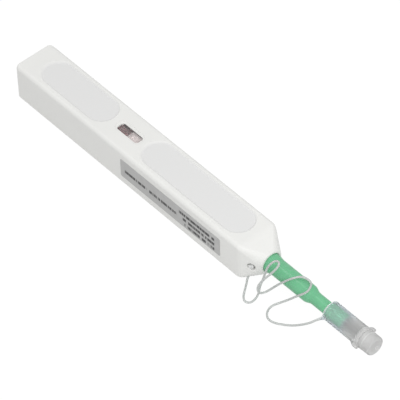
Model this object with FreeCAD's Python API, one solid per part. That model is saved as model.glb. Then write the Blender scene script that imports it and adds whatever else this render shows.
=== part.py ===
import FreeCAD, Part
import math
import os

V = FreeCAD.Vector

# Driving dimensions, in millimetres. Stations along the pen are distances from its rear end.
# The case: a box section with a tapered nose.
WIDTH = 19.3
HEIGHT = 17.8
BODY_LENGTH = 134.4
NOSE_LENGTH = 8.2
NOSE_TIP_HALF = 5.1
WALL = 1.5
NOSE_WALL = 1.0
RUNNER_PLAY = 0.6
TOP_EDGE_R = 1.7
BASE_EDGE_R = 1.1
REAR_EDGE_R = 0.5
REAR_SIDE_R = 1.6
REAR_STATIONS = (0.0, 0.08, 0.25, REAR_EDGE_R, 0.9, REAR_SIDE_R)
NOSE_EDGE_BLEND = 1.4
NOSE_TIP_CORNER_R = 4.8
NOSE_BORE_R = 4.5
PAD_HALF_WIDTH = 7.25
PAD_MIDDLE_Y = 0.45
PAD_DEPTH = 0.45
PAD_SLOPE = 0.6
PAD_SPANS = ((8.4, 49.7), (70.0, 130.4))
WINDOW_X = (53.9, 66.1)
WINDOW_HALF_WIDTH = 2.0
LABEL_X = (65.1, 123.7)
LABEL_Z = (4.2, 13.8)
LABEL_T = 0.12
LABEL_CORNER_R = 0.8

# The green nozzle and what turns inside it.
NOZZLE_ROOT_R = 4.15
NOZZLE_THICK_R = 3.7
NOZZLE_THIN_R = 2.7
NOZZLE_BORE_R = 2.0
FLANGE_LIP = 0.7
FLANGE_T = 1.0
FLARE_X = (142.9, 146.2)
SHOULDER = (163.7, 167.5)
SHOULDER_STEPS = 6
NOZZLE_END = 184.2
NOZZLE_END_R = 2.5
END_TAPER = 0.6
BUSH_LENGTH = 4.8
TIP_R = 1.2
TIP_ROOT = 182.9
TIP_END = 190.6
TIP_EDGE = 0.4
TIP_SLOT = 0.5
TIP_STEM = 4.0
TIP_COLLAR = 1.2
TIP_COLLAR_EDGE = 0.4
SPINDLE_R = 1.6
SPINDLE_BORE_R = 0.9
DRUM_R = 3.4
DRUM_X = (114.2, 125.2)
SPINDLE_REAR = 106.0
GROOVE_HALF_WIDTH = 0.85
GROOVE_DEPTH = 1.2
GROOVE_STEPS = 32
CAM_PIN_R = 0.6
CAM_PIN_X = 116.2
PIN_SINK = 0.3
BOSS_R = 1.6
BOSS_DROP = 2.2

# The clear guide cap and its flip lid. The cap is turned a little about the nozzle, its tether tab less.
CAP_R = 4.2
CAP_X = (175.1, 194.2)
CAP_TURN_DEG = 20.0
TAB_TURN_DEG = 4.0
CAP_GROOVE_X = (192.4, 192.8)
CAP_CHAMBER_R = 2.15
FERRULE_BORE_R = 1.27
END_ROOM = 0.4
CHAMBER_END = TIP_END + END_ROOM
BORE_CONE = 0.8
CAP_EDGE = 0.5
GROOVE_RING_DEPTH = 0.2
LUG_X = (192.2, 194.2)
LUG_ROOT = 3.2
LUG_REACH = 5.25
CAP_LUG_WIDTH = 2.4
SPIGOT_R = 3.0
SPIGOT_END = 195.7
SPIGOT_EDGE = 0.2
TAB_X = (175.1, 176.1)
TAB_REACH = 4.9
TAB_HALF = 0.6
TAB_LEAD = 0.8
TAB_SWING = 0.6
LID_X = (194.3, 200.0)
LID_R = 4.1
LID_RIM_R = 4.2
LID_RIM_END = 196.0
LID_EDGE_R = 0.95
LID_LUG_END = 195.1
LID_LUG_WIDTH = 2.2
LID_GAP = 0.3
LID_ROOF = 198.2
DIMPLE_R = 0.8
DIMPLE_DEPTH = 0.4

# The stroke and the drive.
STROKE = 8.0
GEAR_TEETH = 10
GEAR_MODULE = 0.8
GEAR_WIDTH_Y = (-4.9, -2.3)
TAKE_UP_X = 95.0
SUPPLY_X = 62.0
REEL_BORE_R = 1.05
AXLE_R = 1.0
FIT = 0.05

# The return spring and the pegs that hold its ends.
PEG_R = 2.3
PEG_LENGTH = 9.0
SPRING_WIRE_R = 0.45
SPRING_MEAN_R = 3.4
SPRING_X = (2.0, 39.5)
SPRING_TURNS = 10

# The tether, a limp clear cord, and how much of the shorter run each side of a bend its arc takes.
CORD_R = 0.45
ARC_SHARE = 0.45

AXIS_Z = HEIGHT / 2
NOSE_END = BODY_LENGTH + NOSE_LENGTH
LENGTH = LID_X[1]
CAVITY_X = (WALL, BODY_LENGTH - NOSE_WALL)
CAVITY_HALF = WIDTH / 2 - WALL
CAVITY_TOP = HEIGHT - WALL
RUNNER_HALF = CAVITY_HALF - RUNNER_PLAY
GEAR_PITCH_R = GEAR_TEETH * GEAR_MODULE / 2
GEAR_PITCH = math.pi * GEAR_MODULE
GEAR_ADDENDUM = 0.8 * GEAR_MODULE
GEAR_DEDENDUM = 1.1 * GEAR_MODULE

# How far solids that are fused run into each other, and how far a cutter runs past a face.
JOIN = 0.2
PAST = 1.0


def box(x, y, z):
    """A block between two stations on each axis, each given as (low, high)."""
    return Part.makeBox(x[1] - x[0], y[1] - y[0], z[1] - z[0], V(x[0], y[0], z[0]))


def rod_x(radius, x, z=AXIS_Z, y=0.0):
    """A round bar along the pen."""
    return Part.makeCylinder(radius, x[1] - x[0], V(x[0], y, z), V(1, 0, 0))


def rod_y(radius, y, x, z=AXIS_Z):
    """A round bar across the pen."""
    return Part.makeCylinder(radius, y[1] - y[0], V(x, y[0], z), V(0, 1, 0))


def rod_z(radius, z, x, y=0.0):
    """A round upright bar."""
    return Part.makeCylinder(radius, z[1] - z[0], V(x, y, z[0]), V(0, 0, 1))


def turned(profile):
    """A solid turned about the pen's axis from (station, radius) points."""
    points = [V(x, 0, AXIS_Z + r) for x, r in profile]
    face = Part.Face(Part.makePolygon(points + [points[0]]))
    return face.revolve(V(0, 0, AXIS_Z), V(1, 0, 0), 360)


def section(x, half, low, high, top_r, base_r):
    """A rounded rectangle across the pen, as a wire of four lines and four arcs."""
    turn = math.sqrt(0.5)
    corners = [(half, high, top_r, 1, 1), (-half, high, top_r, -1, 1),
               (-half, low, base_r, -1, -1), (half, low, base_r, 1, -1)]
    arcs = []
    for y, z, r, side_y, side_z in corners:
        centre = V(x, y - side_y * r, z - side_z * r)
        across = centre + V(0, side_y * r, 0)
        upright = centre + V(0, 0, side_z * r)
        middle = centre + V(0, side_y * r * turn, side_z * r * turn)
        ends = (across, upright) if side_y == side_z else (upright, across)
        arcs.append((ends[0], middle, ends[1]))
    edges = []
    for i, (first, middle, last) in enumerate(arcs):
        edges.append(Part.Arc(first, middle, last).toShape())
        edges.append(Part.LineSegment(last, arcs[(i + 1) % 4][0]).toShape())
    return Part.Wire(edges)


def round_run(points, radius):
    """Straight round runs between points, with a ball at each corner."""
    shape = None
    for first, last in zip(points, points[1:]):
        run = Part.makeCylinder(radius, (last - first).Length, first, last - first)
        shape = run if shape is None else shape.fuse(run)
    for corner in points[1:-1]:
        shape = shape.fuse(Part.makeSphere(radius, corner))
    return shape


def slot_wire(x, half, z):
    """A flat stadium outline on a level plane, round at both ends."""
    left, right = x[0] + half, x[1] - half
    near = Part.LineSegment(V(left, -half, z), V(right, -half, z)).toShape()
    front = Part.Arc(V(right, -half, z), V(x[1], 0, z), V(right, half, z)).toShape()
    far = Part.LineSegment(V(right, half, z), V(left, half, z)).toShape()
    rear = Part.Arc(V(left, half, z), V(x[0], 0, z), V(left, -half, z)).toShape()
    return Part.Wire([near, front, far, rear])


def fused(first, *others):
    """One solid from several that meet."""
    shape = first
    for other in others:
        shape = shape.fuse(other)
    return shape.removeSplitter()


def turn_cap(shape):
    """Turns a piece of the cap about the nozzle's axis, as the cap sits."""
    shape.rotate(V(0, 0, AXIS_Z), V(1, 0, 0), CAP_TURN_DEG)
    return shape


def rear_inset(x, radius):
    """How far a rounded rear edge lies inside the straight body at a station."""
    reach = max(0.0, radius - x)
    return radius - math.sqrt(radius ** 2 - reach ** 2)


def case_outside():
    """The case's outer form: rounded rear edges, a straight box and a nose that narrows all round."""
    wires = []
    for x in REAR_STATIONS:
        level = rear_inset(x, REAR_EDGE_R)
        wires.append(section(x, WIDTH / 2 - rear_inset(x, REAR_SIDE_R), level, HEIGHT - level,
                             TOP_EDGE_R - level / 2, BASE_EDGE_R - level / 2))
    for part in (-1.0, -0.5, 0.0, 0.5, 1.0, NOSE_LENGTH / NOSE_EDGE_BLEND):
        ahead = part * NOSE_EDGE_BLEND
        run = ahead if part > 1 else NOSE_EDGE_BLEND * (part + 1) ** 2 / 4
        share = run / NOSE_LENGTH
        side = WIDTH / 2 + share * (NOSE_TIP_HALF - WIDTH / 2)
        low = share * (AXIS_Z - NOSE_TIP_HALF)
        wires.append(section(BODY_LENGTH + ahead, side, low, HEIGHT - low,
                             TOP_EDGE_R + share * (NOSE_TIP_CORNER_R - TOP_EDGE_R),
                             BASE_EDGE_R + share * (NOSE_TIP_CORNER_R - BASE_EDGE_R)))
    return Part.makeLoft(wires, True, True)


# The tether's anchor in the near side of the nose.
NOSE_SLOPE = (WIDTH / 2 - NOSE_TIP_HALF) / NOSE_LENGTH
EYE_AHEAD = 4.35
EYE_R = 1.75
EYE_DEPTH = 1.7
EYE_Z = 8.7
EYE_POINT = V(BODY_LENGTH + EYE_AHEAD, -WIDTH / 2 + EYE_AHEAD * NOSE_SLOPE, EYE_Z)
EYE_NORMAL = V(NOSE_SLOPE, -1, 0).normalize()
KNOT_R = 0.9
KNOT_SINK = 0.4
KNOT_DEPTH = 0.75
KNOT_POINT = EYE_POINT - EYE_NORMAL * KNOT_DEPTH
PASSAGE_R = 0.85


def case_shell():
    """The white case: top, sides, rear wall and nose in one moulding, open along its underside."""
    shell = case_outside()
    shell = shell.cut(box(CAVITY_X, (-CAVITY_HALF, CAVITY_HALF), (-PAST, CAVITY_TOP)))
    shell = shell.cut(rod_x(NOSE_BORE_R, (CAVITY_X[1] - PAST, NOSE_END + PAST)))
    for span in PAD_SPANS:
        inner = (span[0] + PAD_SLOPE, span[1] - PAD_SLOPE)
        spread = PAST * PAD_SLOPE / PAD_DEPTH
        outer = (span[0] - spread, span[1] + spread)
        wires = [slot_wire(inner, PAD_HALF_WIDTH - PAD_SLOPE, HEIGHT - PAD_DEPTH),
                 slot_wire(outer, PAD_HALF_WIDTH + spread, HEIGHT + PAST)]
        recess = Part.makeLoft(wires, True, True)
        recess.translate(V(0, PAD_MIDDLE_Y, 0))
        shell = shell.cut(recess)
    opening_y = (-WINDOW_HALF_WIDTH, WINDOW_HALF_WIDTH)
    shell = shell.cut(box(WINDOW_X, opening_y, (CAVITY_TOP - PAST, HEIGHT + PAST)))
    boss = rod_z(BOSS_R, (CAVITY_TOP - BOSS_DROP, CAVITY_TOP + JOIN), CAM_PIN_X)
    seat = rod_x(PEG_R, (WALL - JOIN, PEG_LENGTH))
    shell = shell.fuse(boss).fuse(seat)
    shell = shell.cut(rod_z(CAM_PIN_R, (CAVITY_TOP - BOSS_DROP - PAST, CAVITY_TOP + PIN_SINK), CAM_PIN_X))
    eyelet = Part.makeCylinder(EYE_R, EYE_DEPTH + PAST, EYE_POINT + EYE_NORMAL * PAST, EYE_NORMAL * -1)
    shell = shell.cut(eyelet)
    return shell.cut(round_run(NEAR_ROUTE[:5], PASSAGE_R)).removeSplitter()


RACK_STEPS = range(-6, 3)
RACK_PRESSURE_DEG = 20
RACK_PLAY = 0.14
COVER_RIB = 2.0


def rack_teeth():
    """Straight-sided rack teeth under the drive gear, with a gap at the gear's rest point."""
    line = AXIS_Z - GEAR_PITCH_R
    root = line - GEAR_DEDENDUM
    crest = line + GEAR_ADDENDUM
    slope = math.tan(math.radians(RACK_PRESSURE_DEG))
    half = GEAR_PITCH / 4 - RACK_PLAY
    low = half + GEAR_DEDENDUM * slope
    top = half - GEAR_ADDENDUM * slope
    shapes = []
    for step in RACK_STEPS:
        centre = TAKE_UP_X + (step + 0.5) * GEAR_PITCH
        corners = [V(centre - low, GEAR_WIDTH_Y[0], root), V(centre + low, GEAR_WIDTH_Y[0], root),
                   V(centre + top, GEAR_WIDTH_Y[0], crest), V(centre - top, GEAR_WIDTH_Y[0], crest)]
        face = Part.Face(Part.makePolygon(corners + [corners[0]]))
        shapes.append(face.extrude(V(0, GEAR_WIDTH_Y[1] - GEAR_WIDTH_Y[0], 0)))
    return shapes, root


def base_cover():
    """The snap-in cover under the case, with the rack that drives the take-up reel moulded on it."""
    across = (-CAVITY_HALF + FIT, CAVITY_HALF - FIT)
    plate = box((CAVITY_X[0] + FIT, CAVITY_X[1] - FIT), across, (0, WALL))
    teeth, root = rack_teeth()
    rib = box((TAKE_UP_X + RACK_STEPS.start * GEAR_PITCH, TAKE_UP_X + RACK_STEPS.stop * GEAR_PITCH),
              GEAR_WIDTH_Y, (WALL - JOIN, root))
    ends = [box((x, x + COVER_RIB), across, (WALL - JOIN, WALL + COVER_RIB / 2))
            for x in (CAVITY_X[0] + FIT, CAVITY_X[1] - COVER_RIB - FIT)]
    return fused(plate, rib, *teeth, *ends)


LENS_FLANGE = 1.3
LENS_T = 0.8
LENS_BELOW_TOP = 0.5


def window_lens():
    """The clear lens: a plate against the inside of the top wall and a block that fills the window."""
    plate = box((WINDOW_X[0] - LENS_FLANGE, WINDOW_X[1] + LENS_FLANGE),
                (-WINDOW_HALF_WIDTH - LENS_FLANGE, WINDOW_HALF_WIDTH + LENS_FLANGE),
                (CAVITY_TOP - LENS_T, CAVITY_TOP))
    block = box((WINDOW_X[0] + FIT, WINDOW_X[1] - FIT),
                (-WINDOW_HALF_WIDTH + FIT, WINDOW_HALF_WIDTH - FIT),
                (CAVITY_TOP - JOIN, HEIGHT - LENS_BELOW_TOP))
    return fused(plate, block)


def side_label():
    """The thin grey sticker on the near side, with rounded corners."""
    sheet = box(LABEL_X, (-WIDTH / 2 - LABEL_T, -WIDTH / 2), LABEL_Z)
    upright = [e for e in sheet.Edges if abs(e.tangentAt(e.FirstParameter).y) > 0.9]
    return sheet.makeFillet(LABEL_CORNER_R, upright)


def cam_pin():
    """The steel pin in the case roof that turns the spindle as it slides past."""
    return rod_z(CAM_PIN_R, (AXIS_Z + DRUM_R - GROOVE_DEPTH + PIN_SINK, CAVITY_TOP + PIN_SINK), CAM_PIN_X)


def return_spring():
    """The compression spring behind the carriage."""
    span = SPRING_X[1] - SPRING_X[0] - 2 * SPRING_WIRE_R
    helix = Part.makeHelix(span / SPRING_TURNS, span, SPRING_MEAN_R)
    ring = Part.Wire(Part.makeCircle(SPRING_WIRE_R, V(SPRING_MEAN_R, 0, 0), V(0, 1, 0)))
    coil = Part.Wire(helix).makePipeShell([ring], True, True)
    coil.rotate(V(0, 0, 0), V(0, 1, 0), 90)
    coil.translate(V(SPRING_X[0] + SPRING_WIRE_R, 0, AXIS_Z))
    return coil


FRAME_X = (40.0, 133.0)
FRAME_Z = (4.8, 13.0)
WEB_LOW_Z = 6.1
PLATE_T = 1.4
BLOCK_HALF_Z = 5.6
FRONT_BLOCK_X = (127.0, FRAME_X[1])
BUSH_WEB_X = (108.0, 112.0)
MID_WEB_X = (76.0, 79.0)
REAR_WEB_X = (FRAME_X[0], 46.0)
ROLLER_X = 104.0
ROLLER_Z = 13.4
ROLLER_R = 1.1
ROLLER_PIN_R = 0.6
ROLLER_HALF = 2.0
EAR_HALF = 1.4
EAR_RISE = 1.2


def carriage_frame():
    """The sliding inner frame: two side plates, four cross blocks and a spring peg."""
    plates_y = ((-RUNNER_HALF, -RUNNER_HALF + PLATE_T), (RUNNER_HALF - PLATE_T, RUNNER_HALF))
    sides = [box(FRAME_X, y, FRAME_Z) for y in plates_y]
    across = (-RUNNER_HALF + JOIN, RUNNER_HALF - JOIN)
    webs = [box(x, across, (WEB_LOW_Z, FRAME_Z[1])) for x in (REAR_WEB_X, MID_WEB_X, BUSH_WEB_X)]
    front = box(FRONT_BLOCK_X, (-RUNNER_HALF, RUNNER_HALF), (AXIS_Z - BLOCK_HALF_Z, AXIS_Z + BLOCK_HALF_Z))
    peg = rod_x(PEG_R, (FRAME_X[0] - PEG_LENGTH, FRAME_X[0] + JOIN))
    ears = [box((ROLLER_X - EAR_HALF, ROLLER_X + EAR_HALF), y, (FRAME_Z[1] - JOIN, ROLLER_Z + EAR_RISE))
            for y in plates_y]
    frame = fused(*sides, *webs, front, peg, *ears)
    through = (-RUNNER_HALF - PAST, RUNNER_HALF + PAST)
    holes = [rod_x(SPINDLE_R + FIT, (BUSH_WEB_X[0] - PAST, BUSH_WEB_X[1] + PAST)),
             rod_x(NOZZLE_ROOT_R, (FRONT_BLOCK_X[0] - PAST, FRONT_BLOCK_X[1] + PAST)),
             rod_y(ROLLER_PIN_R, through, ROLLER_X, ROLLER_Z)]
    holes += [rod_y(AXLE_R, through, x) for x in (TAKE_UP_X, SUPPLY_X)]
    for hole in holes:
        frame = frame.cut(hole)
    return frame.removeSplitter()


def nozzle():
    """The green nozzle: flanged root, slight flare at the case, thick stem, shoulder and thin end."""
    root_x = FRONT_BLOCK_X[0]
    flange_r = NOZZLE_ROOT_R + FLANGE_LIP
    mean_r = (NOZZLE_THICK_R + NOZZLE_THIN_R) / 2
    half_step = (NOZZLE_THICK_R - NOZZLE_THIN_R) / 2
    shoulder = []
    for step in range(SHOULDER_STEPS + 1):
        share = step / SHOULDER_STEPS
        x = SHOULDER[0] + share * (SHOULDER[1] - SHOULDER[0])
        shoulder.append((x, mean_r + half_step * math.cos(math.pi * share)))
    bush_r = SPINDLE_R + FIT
    bush_x = NOZZLE_END - BUSH_LENGTH
    profile = [(root_x - FLANGE_T, NOZZLE_BORE_R), (root_x - FLANGE_T, flange_r), (root_x, flange_r),
               (root_x, NOZZLE_ROOT_R), (FLARE_X[0], NOZZLE_ROOT_R), (FLARE_X[1], NOZZLE_THICK_R), *shoulder,
               (NOZZLE_END - END_TAPER, NOZZLE_THIN_R), (NOZZLE_END, NOZZLE_END_R), (NOZZLE_END, bush_r),
               (bush_x, bush_r), (bush_x - (NOZZLE_BORE_R - bush_r), NOZZLE_BORE_R)]
    return turned(profile)


def reel_axles():
    """The two steel reel pins, pressed through the carriage's side plates."""
    pins = [rod_y(AXLE_R, (-RUNNER_HALF, RUNNER_HALF), x) for x in (TAKE_UP_X, SUPPLY_X)]
    return Part.makeCompound(pins)


def thread_roller():
    """The small roller that leads the thread down to the spindle, with its pin in one piece."""
    body = rod_y(ROLLER_R, (-ROLLER_HALF, ROLLER_HALF), ROLLER_X, ROLLER_Z)
    pin = rod_y(ROLLER_PIN_R, (-RUNNER_HALF, RUNNER_HALF), ROLLER_X, ROLLER_Z)
    return fused(body, pin)


THREAD_R = 0.2
THREAD_GAP = 0.1
THREAD_LEAD = 0.4
FEED_ASIDE = (0.4, 0.3)
SPINDLE_ASIDE = 0.15
RETURN_AHEAD = 5.4
RETURN_ASIDE = (1.6, 2.2)
RETURN_GAP = 0.3
PACK_R = 4.9
USED_PACK_R = 3.0
REEL_FLANGE_T = 0.8
SUPPLY_FLANGE_R = 5.9
TAKE_UP_FLANGE_R = 4.9
HUB_R = 2.2


def feed_thread():
    """The clean thread from the top of the supply reel, over the roller, to the spindle."""
    wrap_r = ROLLER_R + THREAD_R + THREAD_GAP
    corner = wrap_r * math.tan(math.pi / 8)
    points = [V(SUPPLY_X, FEED_ASIDE[0], AXIS_Z + PACK_R + THREAD_R + THREAD_GAP),
              V(ROLLER_X + corner, FEED_ASIDE[0], ROLLER_Z + wrap_r),
              V(ROLLER_X + wrap_r, FEED_ASIDE[1], ROLLER_Z + corner),
              V(SPINDLE_REAR - THREAD_LEAD, SPINDLE_ASIDE, AXIS_Z + THREAD_LEAD)]
    return round_run(points, THREAD_R).removeSplitter()


def return_thread():
    """The used thread from the spindle back to the take-up reel."""
    points = [V(SPINDLE_REAR - THREAD_LEAD, SPINDLE_ASIDE, AXIS_Z - THREAD_LEAD),
              V(TAKE_UP_X + RETURN_AHEAD, RETURN_ASIDE[0], AXIS_Z + RETURN_ASIDE[0]),
              V(TAKE_UP_X, RETURN_ASIDE[1], AXIS_Z + USED_PACK_R + THREAD_R + RETURN_GAP)]
    return round_run(points, THREAD_R).removeSplitter()


def reel(x, flange_r, low, high):
    """A bobbin with two flanges on a hub, bored for its axle."""
    hub = rod_y(HUB_R, (low, high), x)
    flanges = [rod_y(flange_r, y, x) for y in ((low, low + REEL_FLANGE_T), (high - REEL_FLANGE_T, high))]
    body = fused(hub, *flanges)
    return body.cut(rod_y(REEL_BORE_R, (low - PAST, high + PAST), x))


def wound(x, radius, low, high):
    """The wound thread on a bobbin, as one solid ring between the flanges."""
    return rod_y(radius, (low + REEL_FLANGE_T, high - REEL_FLANGE_T), x).cut(rod_y(HUB_R, (low, high), x))


SUPPLY_Y = (-5.0, 5.0)
TAKE_UP_Y = (0.2, 5.0)
RATCHET_Y = (-1.8, -0.4)
RATCHET_R = 4.4
RATCHET_TEETH = 16
RATCHET_DEPTH = 0.7
RATCHET_UNDERCUT = 0.02
TOOTH_SHARES = (0.30, 0.215, 0.085)
PAWL_X = (MID_WEB_X[1], 91.4)
PAWL_FOOT = 1.2
PAWL_T = 0.7
PAWL_Z = (9.6, 12.2)
PAWL_RISE = 0.8
BRAKE_END = 56.2
BRAKE_HALF = 5.2
BRAKE_T = 0.6
BRAKE_Z = (6.4, 11.2)


def drive_gear():
    """The gear that rolls on the rack, with tapered teeth thinned for play."""
    pitch_angle = 2 * math.pi / GEAR_TEETH
    root_r = GEAR_PITCH_R - GEAR_DEDENDUM
    inner_r = root_r - JOIN
    spans = list(zip((root_r, GEAR_PITCH_R, GEAR_PITCH_R + GEAR_ADDENDUM), TOOTH_SHARES))
    body = rod_y(root_r, GEAR_WIDTH_Y, TAKE_UP_X)
    for tooth in range(GEAR_TEETH):
        middle = -math.pi / 2 + tooth * pitch_angle
        outline = [(r, middle - share * pitch_angle) for r, share in spans]
        outline += [(r, middle + share * pitch_angle) for r, share in reversed(spans)]
        outline = [(inner_r, outline[0][1])] + outline + [(inner_r, outline[-1][1])]
        points = [V(TAKE_UP_X + r * math.cos(a), GEAR_WIDTH_Y[0], AXIS_Z + r * math.sin(a)) for r, a in outline]
        face = Part.Face(Part.makePolygon(points + [points[0]]))
        body = body.fuse(face.extrude(V(0, GEAR_WIDTH_Y[1] - GEAR_WIDTH_Y[0], 0)))
    body = body.removeSplitter()
    return body.cut(rod_y(REEL_BORE_R, (GEAR_WIDTH_Y[0] - PAST, GEAR_WIDTH_Y[1] + PAST), TAKE_UP_X))


def ratchet_wheel():
    """The saw-toothed wheel between gear and reel, joined to both by its hub."""
    points = []
    for tooth in range(RATCHET_TEETH):
        angle = 2 * math.pi * tooth / RATCHET_TEETH
        following = angle + 2 * math.pi / RATCHET_TEETH
        for r, a in ((RATCHET_R, angle), (RATCHET_R - RATCHET_DEPTH, following - RATCHET_UNDERCUT)):
            points.append(V(TAKE_UP_X + r * math.cos(a), RATCHET_Y[0], AXIS_Z + r * math.sin(a)))
    face = Part.Face(Part.makePolygon(points + [points[0]]))
    wheel = face.extrude(V(0, RATCHET_Y[1] - RATCHET_Y[0], 0))
    hub = rod_y(HUB_R, (GEAR_WIDTH_Y[1], TAKE_UP_Y[0]), TAKE_UP_X)
    bore = rod_y(REEL_BORE_R, (GEAR_WIDTH_Y[0] - PAST, TAKE_UP_Y[1] + PAST), TAKE_UP_X)
    return fused(wheel, hub).cut(bore)


def ratchet_pawl():
    """The thin spring arm on the carriage that clicks over the ratchet wheel."""
    low, high = RATCHET_Y[0] + FIT, RATCHET_Y[1] - FIT
    foot = box((PAWL_X[0], PAWL_X[0] + PAWL_FOOT), (low, high), (PAWL_Z[0], PAWL_Z[1] + JOIN))
    start = V(PAWL_X[0], low, PAWL_Z[1])
    tip = V(PAWL_X[1], low, PAWL_Z[1])
    corners = [start, tip + V(0, 0, PAWL_RISE), tip + V(PAWL_T / 2, 0, PAWL_RISE / 2), tip,
               start - V(0, 0, PAWL_T)]
    face = Part.Face(Part.makePolygon(corners + [corners[0]]))
    return fused(foot, face.extrude(V(0, high - low, 0)))


def brake_spring():
    """The leaf that drags on the supply reel's flanges so that the thread stays tight."""
    foot = box((REAR_WEB_X[1], REAR_WEB_X[1] + BRAKE_T), (-BRAKE_HALF, BRAKE_HALF), BRAKE_Z)
    leaf = box((REAR_WEB_X[1], BRAKE_END), (-BRAKE_HALF, BRAKE_HALF), (BRAKE_Z[1] - BRAKE_T, BRAKE_Z[1]))
    return fused(foot, leaf)


def spindle():
    """The hollow spindle: a thin tube with a cam drum whose groove turns it half a turn per stroke."""
    body = fused(rod_x(SPINDLE_R, (SPINDLE_REAR, TIP_ROOT)), rod_x(DRUM_R, DRUM_X))
    cuts = []
    for step in range(-1, GROOVE_STEPS + 2):
        travel = STROKE * step / GROOVE_STEPS
        angle = -math.pi * travel / STROKE
        outward = V(0, -math.sin(angle), math.cos(angle))
        base = V(CAM_PIN_X + travel, 0, AXIS_Z) + outward * (DRUM_R - GROOVE_DEPTH)
        cuts.append(Part.makeCylinder(GROOVE_HALF_WIDTH, GROOVE_DEPTH + PAST, base, outward))
    groove = cuts[0].multiFuse(cuts[1:])
    body = body.cut(groove)
    return body.cut(rod_x(SPINDLE_BORE_R, (SPINDLE_REAR - PAST, NOZZLE_END)))


def cleaning_tip():
    """The tip that presses the thread on the fibre's end: a stem in the spindle and a slotted end."""
    collar_r = SPINDLE_R - FIT
    collar_end = TIP_ROOT + TIP_COLLAR
    profile = [(TIP_ROOT - TIP_STEM, 0.0), (TIP_ROOT - TIP_STEM, SPINDLE_BORE_R), (TIP_ROOT, SPINDLE_BORE_R),
               (TIP_ROOT, collar_r), (collar_end, collar_r), (collar_end + TIP_COLLAR_EDGE, TIP_R),
               (TIP_END - TIP_EDGE, TIP_R), (TIP_END, TIP_R - TIP_EDGE), (TIP_END, 0.0)]
    slot = box((TIP_END - TIP_SLOT, TIP_END + PAST), (-TIP_R - PAST, TIP_R + PAST),
               (AXIS_Z - TIP_SLOT / 2, AXIS_Z + TIP_SLOT / 2))
    return turned(profile).cut(slot)


def lug(x, side, width):
    """An ear on one side of the cap, from inside its wall out to a round end."""
    middle = side * (LUG_REACH - width / 2)
    block = box(x, sorted((side * LUG_ROOT, middle)), (AXIS_Z - width / 2, AXIS_Z + width / 2))
    return block.fuse(rod_x(width / 2, x, AXIS_Z, middle))


def guide_cap():
    """The clear guide cap: a thick tube that grips the nozzle, with a ferrule port, ears and tether tab."""
    groove_r = CAP_R - GROOVE_RING_DEPTH
    slope = GROOVE_RING_DEPTH
    outside = turned([(CAP_X[0], 0), (CAP_X[0], CAP_R - CAP_EDGE),
                      (CAP_X[0] + CAP_EDGE / 2, CAP_R - CAP_EDGE / 4),
                      (CAP_X[0] + CAP_EDGE, CAP_R), (CAP_GROOVE_X[0] - slope, CAP_R),
                      (CAP_GROOVE_X[0], groove_r), (CAP_GROOVE_X[1], groove_r),
                      (CAP_GROOVE_X[1] + slope, CAP_R), (CAP_X[1], CAP_R), (CAP_X[1], SPIGOT_R),
                      (SPIGOT_END - SPIGOT_EDGE, SPIGOT_R), (SPIGOT_END, SPIGOT_R - SPIGOT_EDGE),
                      (SPIGOT_END, 0)])
    ears = [lug(LUG_X, side, CAP_LUG_WIDTH) for side in (-1, 1)]
    tab = box(TAB_X, (-TAB_REACH, -LUG_ROOT), (AXIS_Z - TAB_HALF, AXIS_Z + TAB_HALF))
    tab.rotate(V(0, 0, AXIS_Z), V(1, 0, 0), TAB_TURN_DEG - CAP_TURN_DEG)
    body = fused(outside, *ears, tab)
    grip_r = NOZZLE_THIN_R + FIT
    socket_end = NOZZLE_END + END_ROOM
    inside = turned([(CAP_X[0] - PAST, 0), (CAP_X[0] - PAST, grip_r), (socket_end, grip_r),
                     (socket_end + BORE_CONE, CAP_CHAMBER_R), (CHAMBER_END, CAP_CHAMBER_R),
                     (CHAMBER_END + BORE_CONE, FERRULE_BORE_R), (SPIGOT_END + PAST, FERRULE_BORE_R),
                     (SPIGOT_END + PAST, 0)])
    return turn_cap(body.cut(inside))


def flip_lid():
    """The clear lid over the ferrule port: a cup with a rounded front, a dimple and a hinge ear."""
    cut_back = LID_EDGE_R * (1 - math.sqrt(0.5))
    outside = turned([(LID_X[0], 0), (LID_X[0], LID_RIM_R), (LID_RIM_END, LID_RIM_R),
                      (LID_RIM_END, LID_R), (LID_X[1] - LID_EDGE_R, LID_R),
                      (LID_X[1] - cut_back, LID_R - cut_back), (LID_X[1], LID_R - LID_EDGE_R), (LID_X[1], 0)])
    body = fused(outside, lug((LID_X[0], LID_LUG_END), 1, LID_LUG_WIDTH))
    body = body.cut(rod_x(SPIGOT_R + LID_GAP, (LID_X[0] - PAST, LID_ROOF)))
    return turn_cap(body.cut(rod_x(DIMPLE_R, (LID_X[1] - DIMPLE_DEPTH, LID_X[1] + PAST))))


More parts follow.
